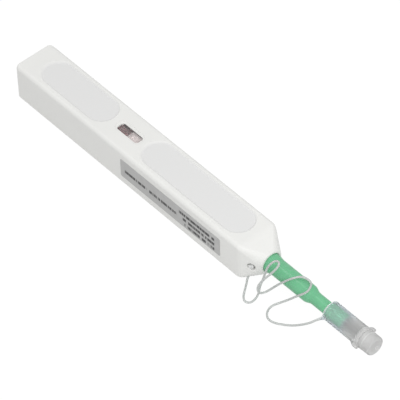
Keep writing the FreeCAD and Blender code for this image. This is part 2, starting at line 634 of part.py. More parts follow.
# The tether's route, from its knot in the nose to the tab of the cap, as chosen points.
# It leaves the nose downwards, lies on the floor, stands over the nozzle in two loops
# and comes back along the floor to the cap. The two lengths meet end to end.
STRAIGHT_ON = 0.7
NEAR_ROUTE = [
    KNOT_POINT - EYE_NORMAL * KNOT_SINK, V(137.7, -6.5, 4.4), V(136.9, -7.0, 1.5), V(137.1, -7.8, 0.56),
    V(138.5, -9.4, 0.5), V(140.6, -12.3, 0.5), V(142.7, -15.0, 0.5), V(144.9, -16.2, 0.5), V(146.8, -14.9, 0.5),
    V(146.6, -12.1, 0.5), V(145.4, -9.3, 0.6), V(144.4, -7.8, 2.9), V(145.2, -6.7, 7.0), V(145.2, -5.1, 11.3),
    V(145.9, -3.6, 13.8), V(146.5, -1.6, 14.5), V(148.4, -1.2, 14.9), V(149.4, -3.0, 14.2), V(148.7, -5.6, 12.2),
    V(147.4, -7.5, 9.9), V(145.5, -10.0, 5.8), V(146.0, -10.4, 2.3), V(146.7, -8.3, 0.9), V(148.0, -6.1, 2.2),
    V(150.2, -5.2, 5.5), V(153.0, -4.8, 9.4), V(156.1, -2.9, 13.0), V(158.5, 0.9, 13.8), V(162.1, 2.1, 13.0),
    V(164.4, 0.3, 13.6), V(165.4, -2.6, 12.9), V(162.4, -4.8, 10.1), V(159.0, -5.3, 5.8), V(156.3, -6.3, 2.7),
    V(154.7, -8.5, 1.7)]
FAR_ROUTE = [
    NEAR_ROUTE[-1], NEAR_ROUTE[-1] * (1 + STRAIGHT_ON) - NEAR_ROUTE[-2] * STRAIGHT_ON,
    V(154.1, -13.1, 0.5), V(156.6, -15.4, 0.5), V(159.6, -15.4, 0.5), V(163.1, -13.4, 0.6),
    V(166.8, -11.6, 1.8), V(170.7, -9.8, 4.4), V(173.3, -8.3, 6.6)]


def cord_length_and_path(points):
    """Straight runs joined by tangent arcs as large as the runs allow; prints every radius."""
    edges = []
    radii = []
    length = 0.0
    start = points[0]
    for before, corner, after in zip(points, points[1:], points[2:]):
        back = (before - corner).normalize()
        ahead = (after - corner).normalize()
        turn = math.pi - back.getAngle(ahead)
        shorter = min((before - corner).Length, (after - corner).Length)
        tangent = ARC_SHARE * shorter
        radius = tangent / math.tan(turn / 2)
        first, last = corner + back * tangent, corner + ahead * tangent
        inward = (back + ahead).normalize()
        middle = corner + inward * (radius / math.cos(turn / 2) - radius)
        edges.append(Part.LineSegment(start, first).toShape())
        edges.append(Part.Arc(first, middle, last).toShape())
        length += (first - start).Length + radius * turn
        radii.append(round(radius, 2))
        start = last
    edges.append(Part.LineSegment(start, points[-1]).toShape())
    length += (points[-1] - start).Length
    print("cord radii", radii)
    return length, Part.Wire(edges)


def cord_tube(points):
    """A plain tube along a route; prints its length and how its volume compares with the section."""
    length, path = cord_length_and_path(points)
    ring = Part.Wire(Part.makeCircle(CORD_R, points[0], points[1] - points[0]))
    tube = path.makePipeShell([ring], True, False)
    share = tube.Volume / (math.pi * CORD_R ** 2 * length)
    lowest = tube.optimalBoundingBox(True).ZMin
    print("cord length", round(length, 1), "volume share", round(share, 4), "lowest", round(lowest, 3))
    return tube


def cap_side_point(x, reach):
    """A point on the near side of the turned cap, at a distance from the nozzle's axis."""
    angle = math.radians(TAB_TURN_DEG)
    return V(x, -reach * math.cos(angle), AXIS_Z - reach * math.sin(angle))


def tether_near():
    """The tether from the nose to where the second length begins."""
    return cord_tube(NEAR_ROUTE)


def tether_far():
    """The tether along the floor and up to the cap's tab."""
    middle = (TAB_X[0] + TAB_X[1]) / 2
    ends = [cap_side_point(middle - TAB_SWING, TAB_REACH + 2 * TAB_LEAD),
            cap_side_point(middle, TAB_REACH + TAB_LEAD), cap_side_point(middle, TAB_REACH)]
    return cord_tube(FAR_ROUTE + ends)


def tether_knot():
    """The knot that holds the tether in the nose's recess."""
    return Part.makeSphere(KNOT_R, KNOT_POINT)


PIECES = {
    "case_shell": case_shell,
    "base_cover": base_cover,
    "window_lens": window_lens,
    "side_label": side_label,
    "cam_pin": cam_pin,
    "return_spring": return_spring,
    "tether_near": tether_near,
    "tether_far": tether_far,
    "tether_knot": tether_knot,
    "carriage_frame": carriage_frame,
    "nozzle": nozzle,
    "reel_axles": reel_axles,
    "thread_roller": thread_roller,
    "feed_thread": feed_thread,
    "return_thread": return_thread,
    "ratchet_pawl": ratchet_pawl,
    "brake_spring": brake_spring,
    "take_up_reel": lambda: reel(TAKE_UP_X, TAKE_UP_FLANGE_R, *TAKE_UP_Y),
    "take_up_thread": lambda: wound(TAKE_UP_X, USED_PACK_R, *TAKE_UP_Y),
    "drive_gear": drive_gear,
    "ratchet_wheel": ratchet_wheel,
    "supply_reel": lambda: reel(SUPPLY_X, SUPPLY_FLANGE_R, *SUPPLY_Y),
    "supply_thread": lambda: wound(SUPPLY_X, PACK_R, *SUPPLY_Y),
    "spindle": spindle,
    "cleaning_tip": cleaning_tip,
    "guide_cap": guide_cap,
    "flip_lid": flip_lid,
}

os.makedirs("parts", exist_ok=True)
for name, make in PIECES.items():
    shape = make()
    shape.translate(V(-LENGTH / 2, 0, 0))
    shape.exportStep(f"parts/{name}.step")
    box_of = shape.BoundBox
    print(name, "solids", len(shape.Solids), "valid", shape.isValid(), "volume", round(shape.Volume, 2),
          "x", round(box_of.XMin, 2), round(box_of.XMax, 2), "z", round(box_of.ZMin, 2), round(box_of.ZMax, 2))
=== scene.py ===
# %% [markdown]
# A fibre optic cleaning pen: a white case, a green nozzle that slides into it, a clear cap with a flip lid
# and a clear tether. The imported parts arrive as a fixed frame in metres. Every new surface is worked out in
# that same frame, so nothing has to be fitted to it afterwards.

# %% Load the frame
import math

import bmesh
import bpy
import numpy as np
from mathutils import Matrix, Vector


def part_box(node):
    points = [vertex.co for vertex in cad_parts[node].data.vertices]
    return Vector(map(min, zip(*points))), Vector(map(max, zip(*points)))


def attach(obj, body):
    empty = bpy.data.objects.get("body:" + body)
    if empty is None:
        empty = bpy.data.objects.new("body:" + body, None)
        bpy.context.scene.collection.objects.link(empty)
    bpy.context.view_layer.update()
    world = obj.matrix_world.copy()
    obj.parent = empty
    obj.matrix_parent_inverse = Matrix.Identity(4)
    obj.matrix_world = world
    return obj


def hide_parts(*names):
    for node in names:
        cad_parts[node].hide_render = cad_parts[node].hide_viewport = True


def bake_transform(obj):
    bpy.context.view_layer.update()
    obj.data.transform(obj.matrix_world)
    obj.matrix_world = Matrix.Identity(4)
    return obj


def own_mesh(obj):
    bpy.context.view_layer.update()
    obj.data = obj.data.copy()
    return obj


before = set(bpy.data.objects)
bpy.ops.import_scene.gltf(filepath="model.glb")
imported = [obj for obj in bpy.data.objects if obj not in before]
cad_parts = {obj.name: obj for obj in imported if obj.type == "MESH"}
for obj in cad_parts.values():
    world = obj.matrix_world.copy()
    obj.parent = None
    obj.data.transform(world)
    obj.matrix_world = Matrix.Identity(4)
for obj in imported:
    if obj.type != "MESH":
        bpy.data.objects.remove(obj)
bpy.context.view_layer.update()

# %% [markdown]
# The pen is drawn by stations, as a turner would mark a bar: millimetres from the rear end along it, and
# millimetres from its middle and from the table across it. One small function turns such marks into metres
# in the frame, where the rear end of the case is.

# %% Stations along the pen
MM = 0.001
CASE_LOW, CASE_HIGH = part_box("case_shell")
REAR = CASE_LOW.x
WIDTH = (CASE_HIGH.y - CASE_LOW.y) / MM
HEIGHT = CASE_HIGH.z / MM
NOSE_END = (CASE_HIGH.x - REAR) / MM
AXIS_Z = HEIGHT / 2


def place(stations):
    """Metres in the frame for points in millimetres from the rear end, the middle and the table."""
    return np.asarray(stations, float) * MM + np.array((REAR, 0.0, 0.0))


def station(x):
    """The point on the pen's floor line at a station."""
    return place((x, 0.0, 0.0))


print("case:", round(NOSE_END, 2), "mm long,", round(WIDTH, 2), "wide,", round(HEIGHT, 2), "high")

# %% [markdown]
# The camera stands well back with a long lens, above the cap and to the near side, so the pen runs across
# the picture with almost no perspective. It is built from three axes instead of angles about X, Y and Z,
# because a view that is turned a little about its own line of sight is easier to write that way.

# %% Camera
TARGET = Vector((-0.000463, 0.001607, 0.0087))
DISTANCE = 1.173365
AZIMUTH, ELEVATION, ROLL = (math.radians(angle) for angle in (49.436, 47.542, -1.662))
FOCAL_MM = 270.0
SENSOR_MM = 36.0

forward = Vector((-math.sin(AZIMUTH) * math.cos(ELEVATION), math.cos(AZIMUTH) * math.cos(ELEVATION),
                  -math.sin(ELEVATION)))
level = Vector((math.cos(AZIMUTH), math.sin(AZIMUTH), 0.0))
right = level * math.cos(ROLL) + level.cross(forward) * math.sin(ROLL)
camera_data = bpy.data.cameras.new("camera")
camera_data.lens = FOCAL_MM
camera_data.sensor_width = SENSOR_MM
camera = bpy.data.objects.new("camera", camera_data)
bpy.context.scene.collection.objects.link(camera)
camera.matrix_world = Matrix.Translation(TARGET - forward * DISTANCE) @ Matrix(
    (right, right.cross(forward), -forward)).transposed().to_4x4()
bpy.context.scene.camera = camera
print("camera at", [round(value, 4) for value in camera.matrix_world.translation])

# %% [markdown]
# The tether is a limp clear cord, as thick as fishing line. It hangs out of the nose, lies on the table,
# stands over the nozzle in two loops and comes back to the cap. A smooth spline between listed points
# gives its line. The line is then made a round tube of mesh.

# %% Tether
CORD_R = 0.45
CORD_STEPS = 10
CORD_ROUNDNESS = 4
NEAR_ROUTE = [
    (138.19, -6.23, 8.7), (137.7, -6.5, 4.4), (136.9, -7.0, 1.5), (137.1, -7.8, 0.56), (138.5, -9.4, 0.5),
    (140.6, -12.3, 0.5), (142.7, -15.0, 0.5), (144.9, -16.2, 0.5), (146.8, -14.9, 0.5), (146.6, -12.1, 0.5),
    (145.4, -9.3, 0.6), (144.4, -7.8, 2.9), (145.2, -6.7, 7.0), (145.2, -5.1, 11.3), (145.9, -3.6, 13.8),
    (146.5, -1.6, 14.5), (148.4, -1.2, 14.9), (149.4, -3.0, 14.2), (148.7, -5.6, 12.2), (147.4, -7.5, 9.9),
    (145.5, -10.0, 5.8), (146.0, -10.4, 2.3), (146.7, -8.3, 0.9), (148.0, -6.1, 2.2), (150.2, -5.2, 5.5),
    (153.0, -4.8, 9.4), (156.1, -2.9, 13.0), (158.5, 0.9, 13.8), (162.1, 2.1, 13.0), (164.4, 0.3, 13.6),
    (165.4, -2.6, 12.9), (162.4, -4.8, 10.1), (159.0, -5.3, 5.8), (156.3, -6.3, 2.7), (154.7, -8.5, 1.7)]
FAR_ROUTE = [
    (154.7, -8.5, 1.7), (153.58, -10.04, 1.0), (154.1, -13.1, 0.5), (156.6, -15.4, 0.5), (159.6, -15.4, 0.5),
    (163.1, -13.4, 0.6), (166.8, -11.6, 1.8), (170.7, -9.8, 4.4), (173.3, -8.3, 6.6), (175.0, -6.484, 8.447),
    (175.6, -5.686, 8.502), (175.6, -4.888, 8.558)]


def link(piece):
    """Puts a new object into the scene."""
    bpy.context.scene.collection.objects.link(piece)
    return piece


def cord_piece(name, route):
    """A round tube along the spline of a route, and the points of its middle line."""
    curve = bpy.data.curves.new(name, "CURVE")
    curve.dimensions = "3D"
    spline = curve.splines.new("NURBS")
    spline.points.add(len(route) - 1)
    controls = np.column_stack([place(route), np.ones(len(route))])
    spline.points.foreach_set("co", controls.ravel())
    spline.order_u = 3
    spline.use_endpoint_u = True
    curve.resolution_u = CORD_STEPS
    holder = link(bpy.data.objects.new(name + "_line", curve))
    line = bpy.data.meshes.new_from_object(holder)
    path = np.empty(len(line.vertices) * 3)
    line.vertices.foreach_get("co", path)
    curve.bevel_depth = CORD_R * MM
    curve.bevel_resolution = CORD_ROUNDNESS
    curve.use_fill_caps = True
    tube = bpy.data.meshes.new_from_object(holder)
    tube.name = name
    bpy.data.objects.remove(holder)
    bpy.data.meshes.remove(line)
    path = path.reshape(-1, 3)
    length = np.linalg.norm(np.diff(path, axis=0), axis=1).sum()
    print(name, "is", round(length / MM, 1), "mm long, with", len(tube.polygons), "faces")
    return link(bpy.data.objects.new(name, tube)), path


near_cord, near_path = cord_piece("tether_near_cord", NEAR_ROUTE)
far_cord, far_path = cord_piece("tether_far_cord", FAR_ROUTE)

# %% [markdown]
# New pieces come from rings of points. A ring is a row of a grid, its neighbour is the next row, and the
# quads between them are index arithmetic on whole arrays. A stack of rings is closed by a flat face at each
# end, and a loop of rings closes on itself like a tyre. Doubles are merged and the faces turned outwards in
# one place.

# %% Rings into closed pieces
SMOOTH_ANGLE = math.radians(32)
MERGE = 1e-6


def ring_quads(rows, columns, loop):
    """Quads between each row of a grid and the next, round every row, and in a loop from last to first."""
    row = np.arange(rows if loop else rows - 1)[:, None]
    column = np.arange(columns)[None, :]
    row_after, column_after = (row + 1) % rows, (column + 1) % columns
    corners = (row * columns + column, row_after * columns + column,
               row_after * columns + column_after, row * columns + column_after)
    return np.stack(np.broadcast_arrays(*corners), -1).reshape(-1, 4)


def closed_piece(name, rings, loop=False):
    """A closed mesh from an array of rings in millimetre stations, at the origin, with its faces outwards."""
    rows, columns = rings.shape[:2]
    faces = ring_quads(rows, columns, loop).tolist()
    if not loop:
        faces += [list(range(columns)), list(range((rows - 1) * columns, rows * columns))]
    mesh = bpy.data.meshes.new(name)
    mesh.from_pydata(place(rings.reshape(-1, 3)).tolist(), [], faces)
    work = bmesh.new()
    work.from_mesh(mesh)
    bmesh.ops.remove_doubles(work, verts=work.verts, dist=MERGE)
    bmesh.ops.recalc_face_normals(work, faces=work.faces)
    work.to_mesh(mesh)
    work.free()
    return link(bpy.data.objects.new(name, mesh))


def smooth(piece):
    """Shades a piece smoothly up to a sharp angle, with large flat faces ruling the edges beside them."""
    piece.data.shade_smooth()
    piece.data.set_sharp_from_angle(angle=SMOOTH_ANGLE)
    steady = piece.modifiers.new("steady", "WEIGHTED_NORMAL")
    steady.keep_sharp = True
    print(piece.name, "has", len(piece.data.polygons), "faces")
    return piece


def carve(body, *tools):
    """Cuts or joins closed tools, each given with its operation, and keeps only the finished body."""
    for tool, operation in tools:
        step = body.modifiers.new(operation.lower(), "BOOLEAN")
        step.operation = operation
        step.solver = "MANIFOLD"
        step.object = tool
    shaped = body.evaluated_get(bpy.context.evaluated_depsgraph_get())
    mesh = bpy.data.meshes.new_from_object(shaped)
    body.modifiers.clear()
    mesh.materials.clear()
    body.data = mesh
    mesh.name = body.name
    for tool, operation in tools:
        bpy.data.objects.remove(tool)
    return body


# %% [markdown]
# Most edges of a moulded or turned piece are small arcs. An outline is written as its corners, each with a
# rounding, and one formula replaces every corner at once by its arc: a rational curve between the two points
# where the arc touches the straight edges. A turned piece carries such an outline round an axis. A bent
# round piece is a row of circles that stand across its middle line.

# %% Rounded outlines, turned pieces and tubes
ARC_STEPS = 6
TINY = 1e-6


def unit(vectors):
    """The same vectors with a length of one."""
    return vectors / np.linalg.norm(vectors, axis=-1, keepdims=True)


def rounded(corners, steps=ARC_STEPS):
    """A closed outline from (along, out, rounding) corners. With touching points a and b beside corner c and
    w the sine of half its angle, an arc is (a(1-s)^2 + 2wcs(1-s) + bs^2) over the same with ones."""
    corners = np.asarray(corners, float)
    point, rounding = corners[:, :2], corners[:, 2]
    back, ahead = unit(np.roll(point, 1, 0) - point), unit(np.roll(point, -1, 0) - point)
    half = np.arccos(np.clip((back * ahead).sum(1), -1.0, 1.0)) / 2
    reach = (rounding / np.tan(half))[:, None]
    s = np.linspace(0.0, 1.0, steps + 1)[None, :, None]
    first, last = (1 - s) ** 2, s ** 2
    middle = 2 * np.sin(half)[:, None, None] * s * (1 - s)
    arcs = first * (point + back * reach)[:, None] + middle * point[:, None]
    arcs = ((arcs + last * (point + ahead * reach)[:, None]) / (first + middle + last)).reshape(-1, 2)
    return arcs[np.linalg.norm(arcs - np.roll(arcs, 1, 0), axis=1) > TINY]


def full_turn(sides):
    """Angles once round, evenly spaced."""
    return np.linspace(0.0, 2 * math.pi, sides, endpoint=False)


def turned_rings(outline, angles, origin=(0.0, 0.0, AXIS_Z), axis=(1.0, 0.0, 0.0), aside=(0.0, 1.0, 0.0)):
    """Rings that carry (along, radius) points round an axis: origin + along.axis + radius.(cos, sin)."""
    axis, aside = np.asarray(axis), np.asarray(aside)
    across = np.cross(axis, aside)
    spokes = np.cos(angles)[:, None] * aside + np.sin(angles)[:, None] * across
    return np.asarray(origin) + outline[:, :1, None] * axis + outline[:, 1:, None] * spokes


def circle_rings(line, side, up, radius, sides):
    """Circles about the points of a line, in the plane of two directions: radius.(cos.side + sin.up)."""
    turn = full_turn(sides)[None, :, None]
    return line[:, None] + radius * (np.cos(turn) * side[:, None] + np.sin(turn) * up[:, None])


# %% [markdown]
# The knot holds the cord's end in the nose. A thumb knot is the simplest knot there is, and its closed line
# is a trefoil, so the piece is a round tube carried along a trefoil. It sits low in the eyelet, so that a
# dark gap is left above it.

# %% Knot
EYE_POINT = np.array((138.75, -7.236, 8.7))
EYE_NORMAL = np.array((0.4852, -0.8744, 0.0))
EYE_ASIDE = np.array((0.0, 0.0, 1.0))
KNOT_SHIFT = np.array((-0.20, -0.11, -0.36))
KNOT_DEPTH = 0.5
KNOT_SPREAD = 0.27
KNOT_LIFT = 0.3
KNOT_STRAND_R = 0.5


def knot_rings(steps=96, sides=14):
    """A tube of circles about the line (cos t - 2 cos 2t, sin t + 2 sin 2t, -sin 3t), flat in the eyelet."""
    t = full_turn(steps)
    across = np.cross(EYE_NORMAL, EYE_ASIDE)
    flat = np.stack([np.cos(t) - 2 * np.cos(2 * t), np.sin(t) + 2 * np.sin(2 * t)]) * KNOT_SPREAD
    middle = EYE_POINT + KNOT_SHIFT - KNOT_DEPTH * EYE_NORMAL
    line = middle + flat[0][:, None] * EYE_ASIDE + flat[1][:, None] * across
    line = line - (KNOT_LIFT * np.sin(3 * t))[:, None] * EYE_NORMAL
    along = unit(np.roll(line, -1, 0) - np.roll(line, 1, 0))
    side = unit(np.cross(along, EYE_NORMAL))
    return circle_rings(line, side, np.cross(side, along), KNOT_STRAND_R, sides)


knot = smooth(closed_piece("tether_thumb_knot", knot_rings(), loop=True))
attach(knot, "case")
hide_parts("tether_knot")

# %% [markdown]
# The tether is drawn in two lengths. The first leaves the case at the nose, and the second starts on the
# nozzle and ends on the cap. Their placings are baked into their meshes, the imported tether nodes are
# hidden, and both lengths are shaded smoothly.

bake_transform(near_cord)
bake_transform(far_cord)
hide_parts("tether_near")
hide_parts("tether_far")
for cord in (near_cord, far_cord):
    cord.data.shade_smooth()

# %% [markdown]
# The case is one white moulding: a box section with soft top edges, a short tapered nose and two shallow
# thumb recesses. Its outline at any station depends on five sizes only, and it does so linearly. So the skin
# is a matrix product: a fixed pattern of weights for the points round an outline, times the sizes at every
# station.

# %% Sizes of the case at every station
BODY_LENGTH = 134.4
NOSE_LENGTH = NOSE_END - BODY_LENGTH
NOSE_TIP_HALF = 5.1
NOSE_TIP_CORNER_R = 4.8
NOSE_TIP_EDGE_R = 0.3
NOSE_EDGE_BLEND = 1.5
TOP_EDGE_R = 1.7
BASE_EDGE_R = 1.1
REAR_EDGE_R = 0.5
REAR_SIDE_R = 1.6
PAD_SPANS = ((7.9, 49.7), (69.0, 130.4))
PAD_HALF = 7.25
PAD_MIDDLE = 0.45
PAD_DEPTH = 0.5
PAD_SLOPES = (1.7, 0.6)
FINE_STEP = 0.2
FINE_REACH = 1.0
COARSE_STEP = 1.5


def straight_stations():
    """Stations of the straight body: coarse, and fine where a recess has its round ends."""
    begin, end = REAR_SIDE_R, BODY_LENGTH - NOSE_EDGE_BLEND
    spans = [np.arange(begin + COARSE_STEP, end - FINE_STEP, COARSE_STEP)]
    for low, high in PAD_SPANS:
        spans.append(np.arange(low - FINE_REACH, low + PAD_HALF + FINE_REACH, FINE_STEP))
        spans.append(np.arange(high - PAD_HALF - FINE_REACH, high + FINE_REACH, FINE_STEP))
    stations = np.unique(np.round(np.concatenate(spans), 2))
    return stations[(stations > begin) & (stations < end)]


def rear_inset(x, radius):
    """How far a rounded rear edge lies inside the straight body: r less the root of r^2 - (r - x)^2."""
    return radius - np.sqrt(radius ** 2 - np.maximum(0.0, radius - x) ** 2)


def quarter_turn(steps):
    """Angles of a quarter circle, evenly spaced."""
    return np.radians(np.linspace(0, 90, steps + 1))


def case_sizes():
    """Columns of (station, half width, floor, roof, top radius, base radius). The rear edges are quarter
    circles, and the nose narrows in a straight line after a short parabola."""
    x = REAR_SIDE_R * (1 - np.cos(quarter_turn(16)))
    aside, inset = rear_inset(x, REAR_SIDE_R), rear_inset(x, REAR_EDGE_R)
    rear = (x, WIDTH / 2 - aside, inset, HEIGHT - inset, TOP_EDGE_R - inset / 2, BASE_EDGE_R - inset / 2)
    body = np.broadcast_arrays(straight_stations(), WIDTH / 2, 0.0, HEIGHT, TOP_EDGE_R, BASE_EDGE_R)
    turn = quarter_turn(6)
    tip = NOSE_LENGTH - NOSE_TIP_EDGE_R * (1 - np.sin(turn))
    ahead = np.concatenate([np.linspace(-1, 1, 15) * NOSE_EDGE_BLEND,
                            np.linspace(NOSE_EDGE_BLEND, tip[0], 13)[1:-1], tip])
    inset = np.concatenate([np.zeros(len(ahead) - len(tip)), NOSE_TIP_EDGE_R * (1 - np.cos(turn))])
    bent = NOSE_EDGE_BLEND * (ahead / NOSE_EDGE_BLEND + 1) ** 2 / 4
    share = np.where(ahead > NOSE_EDGE_BLEND, ahead, bent) / NOSE_LENGTH
    half_width = WIDTH / 2 + share * (NOSE_TIP_HALF - WIDTH / 2) - inset
    floor = share * (AXIS_Z - NOSE_TIP_HALF) + inset
    nose = (BODY_LENGTH + ahead, half_width, floor, HEIGHT - floor,
            TOP_EDGE_R + share * (NOSE_TIP_CORNER_R - TOP_EDGE_R) - inset,
            BASE_EDGE_R + share * (NOSE_TIP_CORNER_R - BASE_EDGE_R) - inset)
    return np.concatenate([np.stack(rear), np.stack(body), np.stack(nose)], axis=1)


# %% [markdown]
# The weights go once round the outline: across the top, round the far top corner, down the far side, round
# the base and back up the near side as a mirror image. A thumb recess is a stadium pressed into the top, so
# each point is lowered by a smooth step of how far inside the stadium it lies. The step is longer at the rear
# end of a recess, where the light draws a pale crescent.

# %% Skin of the case
def weights(*columns):
    """Rows of weights for (half width, floor, roof, top radius, base radius)."""
    return np.stack(np.broadcast_arrays(*columns), -1).astype(float)


def outline_weights():
    """Weights of the sideways and upright places of the points round the outline."""
    top = np.linspace(-1, 1, 61)
    bend = np.radians(np.concatenate([np.linspace(0, 16, 9)[1:], np.linspace(16, 90, 15)[1:]]))
    fall = np.linspace(0, 1, 10)[1:-1]
    turn = quarter_turn(6)
    back = np.linspace(1, -1, 12)[1:-1]
    far_y = np.concatenate([weights(1, 0, 0, np.sin(bend) - 1, 0), weights(1, 0 * fall, 0, 0, 0),
                            weights(1, 0, 0, 0, np.cos(turn) - 1)])
    far_z = np.concatenate([weights(0, 0, 1, np.cos(bend) - 1, 0), weights(0, fall, 1 - fall, fall - 1, fall),
                            weights(0, 1, 0, 0, 1 - np.sin(turn))])
    sideways = np.concatenate([weights(top, 0, 0, -top, 0), far_y, weights(back, 0, 0, 0, -back),
                               -far_y[::-1]])
    upright = np.concatenate([weights(0 * top, 0, 1, 0, 0), far_z, weights(0 * back, 1, 0, 0, 0),
                              far_z[::-1]])
    return sideways, upright


def smoothstep(value):
    """0 below 0, 1 above 1 and 3v^2 - 2v^3 between."""
    value = np.clip(value, 0.0, 1.0)
    return value * value * (3 - 2 * value)


def pad_share(x, y):
    """How deep in a thumb recess a point lies: a smooth step of its distance inside the stadium's edge, over
    a slope that is longer at the rear end."""
    share = 0.0
    for low, high in PAD_SPANS:
        behind, ahead = low + PAD_HALF - x, x - high + PAD_HALF
        inside = PAD_HALF - np.hypot(np.maximum(0.0, np.maximum(behind, ahead)), y - PAD_MIDDLE)
        slope = PAD_SLOPES[1] + (PAD_SLOPES[0] - PAD_SLOPES[1]) * smoothstep(behind / PAD_HALF)
        share = np.maximum(share, smoothstep(inside / slope))
    return share


def case_rings():
    """The outline at every station, with the thumb recesses pressed into its top."""
    sizes = case_sizes()
    sideways, upright = outline_weights()
    y, z = sizes[1:].T @ sideways.T, sizes[1:].T @ upright.T
    x = np.broadcast_to(sizes[0][:, None], y.shape)
    pressed = np.minimum(z, HEIGHT - PAD_DEPTH * pad_share(x, y))
    return np.stack([x, y, np.where(z > HEIGHT - TOP_EDGE_R, pressed, z)], -1)


case = closed_piece("case_moulding", case_rings())
print("case skin:", len(case.data.vertices), "points")

# %% [markdown]
# The moulding is hollow and open below, where a cover closes it. Its hollow, the nozzle's bore, the window,
# the eyelet and the tether's passage are cut with closed tools. Each mouth has a small rounding, because a
# moulded hole never has a knife edge, and the light catches it. The window lies in a shallow ledge.

# %% Hollow of the case and its mouths
CAVITY_X = (1.5, 133.4)
CAVITY_HALF = 8.15
CAVITY_TOP = 16.3
CAVITY_CORNER_R = 0.3
NOSE_BORE_R = 4.28
BORE_EDGE_R = 0.15
WINDOW_X = (53.9, 66.1)
WINDOW_HALF = 2.0
WINDOW_CORNER_R = 1.2
WINDOW_EDGE_R = 0.35
LIP_DEPTH = 0.3
LIP_SPREADS = (0.9, 1.05)
EYE_R = 1.75
EYE_DEPTH = 1.75
EYE_EDGE_R = 0.3
PASSAGE_R = 0.85
PASSAGE_LOW = 0.9
PASSAGE_MORE = 14
PASSAGE_GUIDE = (1.0, 0.3, 0.1)
PAST = 1.0


def slot_rings(x_span, half, corner_r, levels, spreads):
    """Rings of a rounded rectangle at each level, made wider all round by that level's spread."""
    rings = []
    for level_z, spread in zip(levels, spreads):
        low, high, out, r = x_span[0] - spread, x_span[1] + spread, half + spread, corner_r + spread
        outline = rounded([(low, -out, r), (high, -out, r), (high, out, r), (low, out, r)])
        rings.append(np.column_stack([outline, np.full(len(outline), level_z)]))
    return np.stack(rings)


def mouth(edge_r, steps=6):
    """Depth below the face and widening of a rounded mouth, from its throat to the face."""
    turn = quarter_turn(steps)
    return edge_r * (1 - np.sin(turn)), edge_r * (1 - np.cos(turn))


def hole_rings(radius, depth, edge_r, origin, axis, aside, sides=64):
    """A round hole from its floor to its rounded mouth and on past the face, on an axis that points out."""
    below, wider = mouth(edge_r)
    along = np.concatenate([[-depth], -below, [PAST]])
    out = np.concatenate([[radius], radius + wider, [radius + edge_r]])
    return turned_rings(np.column_stack([along, out]), full_turn(sides), origin, axis, aside)


def passage_rings(steps=24, sides=20):
    """The tether's passage: circles across its line, from the eyelet to a little past where it gets low."""
    end = np.argmax(near_path[:, 2] < PASSAGE_LOW * MM) + PASSAGE_MORE
    line = (near_path[:end] - station(0.0)) / MM
    line = line[np.linspace(0, len(line) - 1, steps).astype(int)]
    along = unit(np.gradient(line, axis=0))
    side = unit(np.cross(along, PASSAGE_GUIDE))
    return circle_rings(line, side, np.cross(along, side), PASSAGE_R, sides)


below, wider = mouth(WINDOW_EDGE_R)
ledge = HEIGHT - LIP_DEPTH
window_levels = [CAVITY_TOP - PAST, *(ledge - below), ledge, HEIGHT, HEIGHT + PAST]
window_spreads = [0.0, *wider, LIP_SPREADS[0], LIP_SPREADS[1], LIP_SPREADS[1]]
cavity = closed_piece("cavity", slot_rings(CAVITY_X, CAVITY_HALF, CAVITY_CORNER_R, (-PAST, CAVITY_TOP),
                                           (0.0, 0.0)))
window = closed_piece("window", slot_rings(WINDOW_X, WINDOW_HALF, WINDOW_CORNER_R, window_levels,
                                           window_spreads))
bore = closed_piece("bore", hole_rings(NOSE_BORE_R, NOSE_END - CAVITY_X[1] + PAST, BORE_EDGE_R,
                                       (NOSE_END, 0.0, AXIS_Z), (1.0, 0.0, 0.0), (0.0, 1.0, 0.0), sides=96))
eyelet = closed_piece("eyelet", hole_rings(EYE_R, EYE_DEPTH, EYE_EDGE_R, EYE_POINT, EYE_NORMAL, EYE_ASIDE))
passage = closed_piece("passage", passage_rings())

# %% [markdown]
# Inside, the moulding carries a boss for the cam pin and a peg for the return spring. They are joined on in
# the same step. After the cuts the depth in the recesses is stored on the points, so that the recesses can
# have a slightly different finish from the rest.

# %% Finished case
BOSS_R = 1.6
BOSS_X = 116.2
BOSS_Z = (14.1, 16.5)
PIN_R = 0.6
PIN_Z = (13.1, 16.6)
PEG_R = 2.3
PEG_X = (1.3, 9.0)
PEG_EDGE = 0.3
BAR_SIDES = 40


def upright_rings(radius, span, x):
    """A round upright bar as two rings."""
    outline = np.array([(span[0], radius), (span[1], radius)])
    return turned_rings(outline, full_turn(BAR_SIDES), (x, 0.0, 0.0), (0.0, 0.0, 1.0), (1.0, 0.0, 0.0))


peg_outline = np.array([(PEG_X[0], PEG_R), (PEG_X[1] - PEG_EDGE, PEG_R), (PEG_X[1], PEG_R - PEG_EDGE)])
boss = closed_piece("boss", upright_rings(BOSS_R, BOSS_Z, BOSS_X))
peg = closed_piece("peg", turned_rings(peg_outline, full_turn(BAR_SIDES)))
pin_hole = closed_piece("pin_hole", upright_rings(PIN_R, PIN_Z, BOSS_X))
carve(case, (cavity, "DIFFERENCE"), (bore, "DIFFERENCE"), (window, "DIFFERENCE"), (eyelet, "DIFFERENCE"),
      (passage, "DIFFERENCE"), (boss, "UNION"), (peg, "UNION"), (pin_hole, "DIFFERENCE"))
corners = np.empty(len(case.data.vertices) * 3)
case.data.vertices.foreach_get("co", corners)
corners = (corners.reshape(-1, 3) - station(0.0)) / MM
recess = pad_share(corners[:, 0], corners[:, 1]) * (corners[:, 2] > HEIGHT - TOP_EDGE_R / 2)
case.data.attributes.new("recess", "FLOAT", "POINT").data.foreach_set("value", recess.astype(np.float32))
smooth(case)
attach(case, "case")
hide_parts("case_shell")
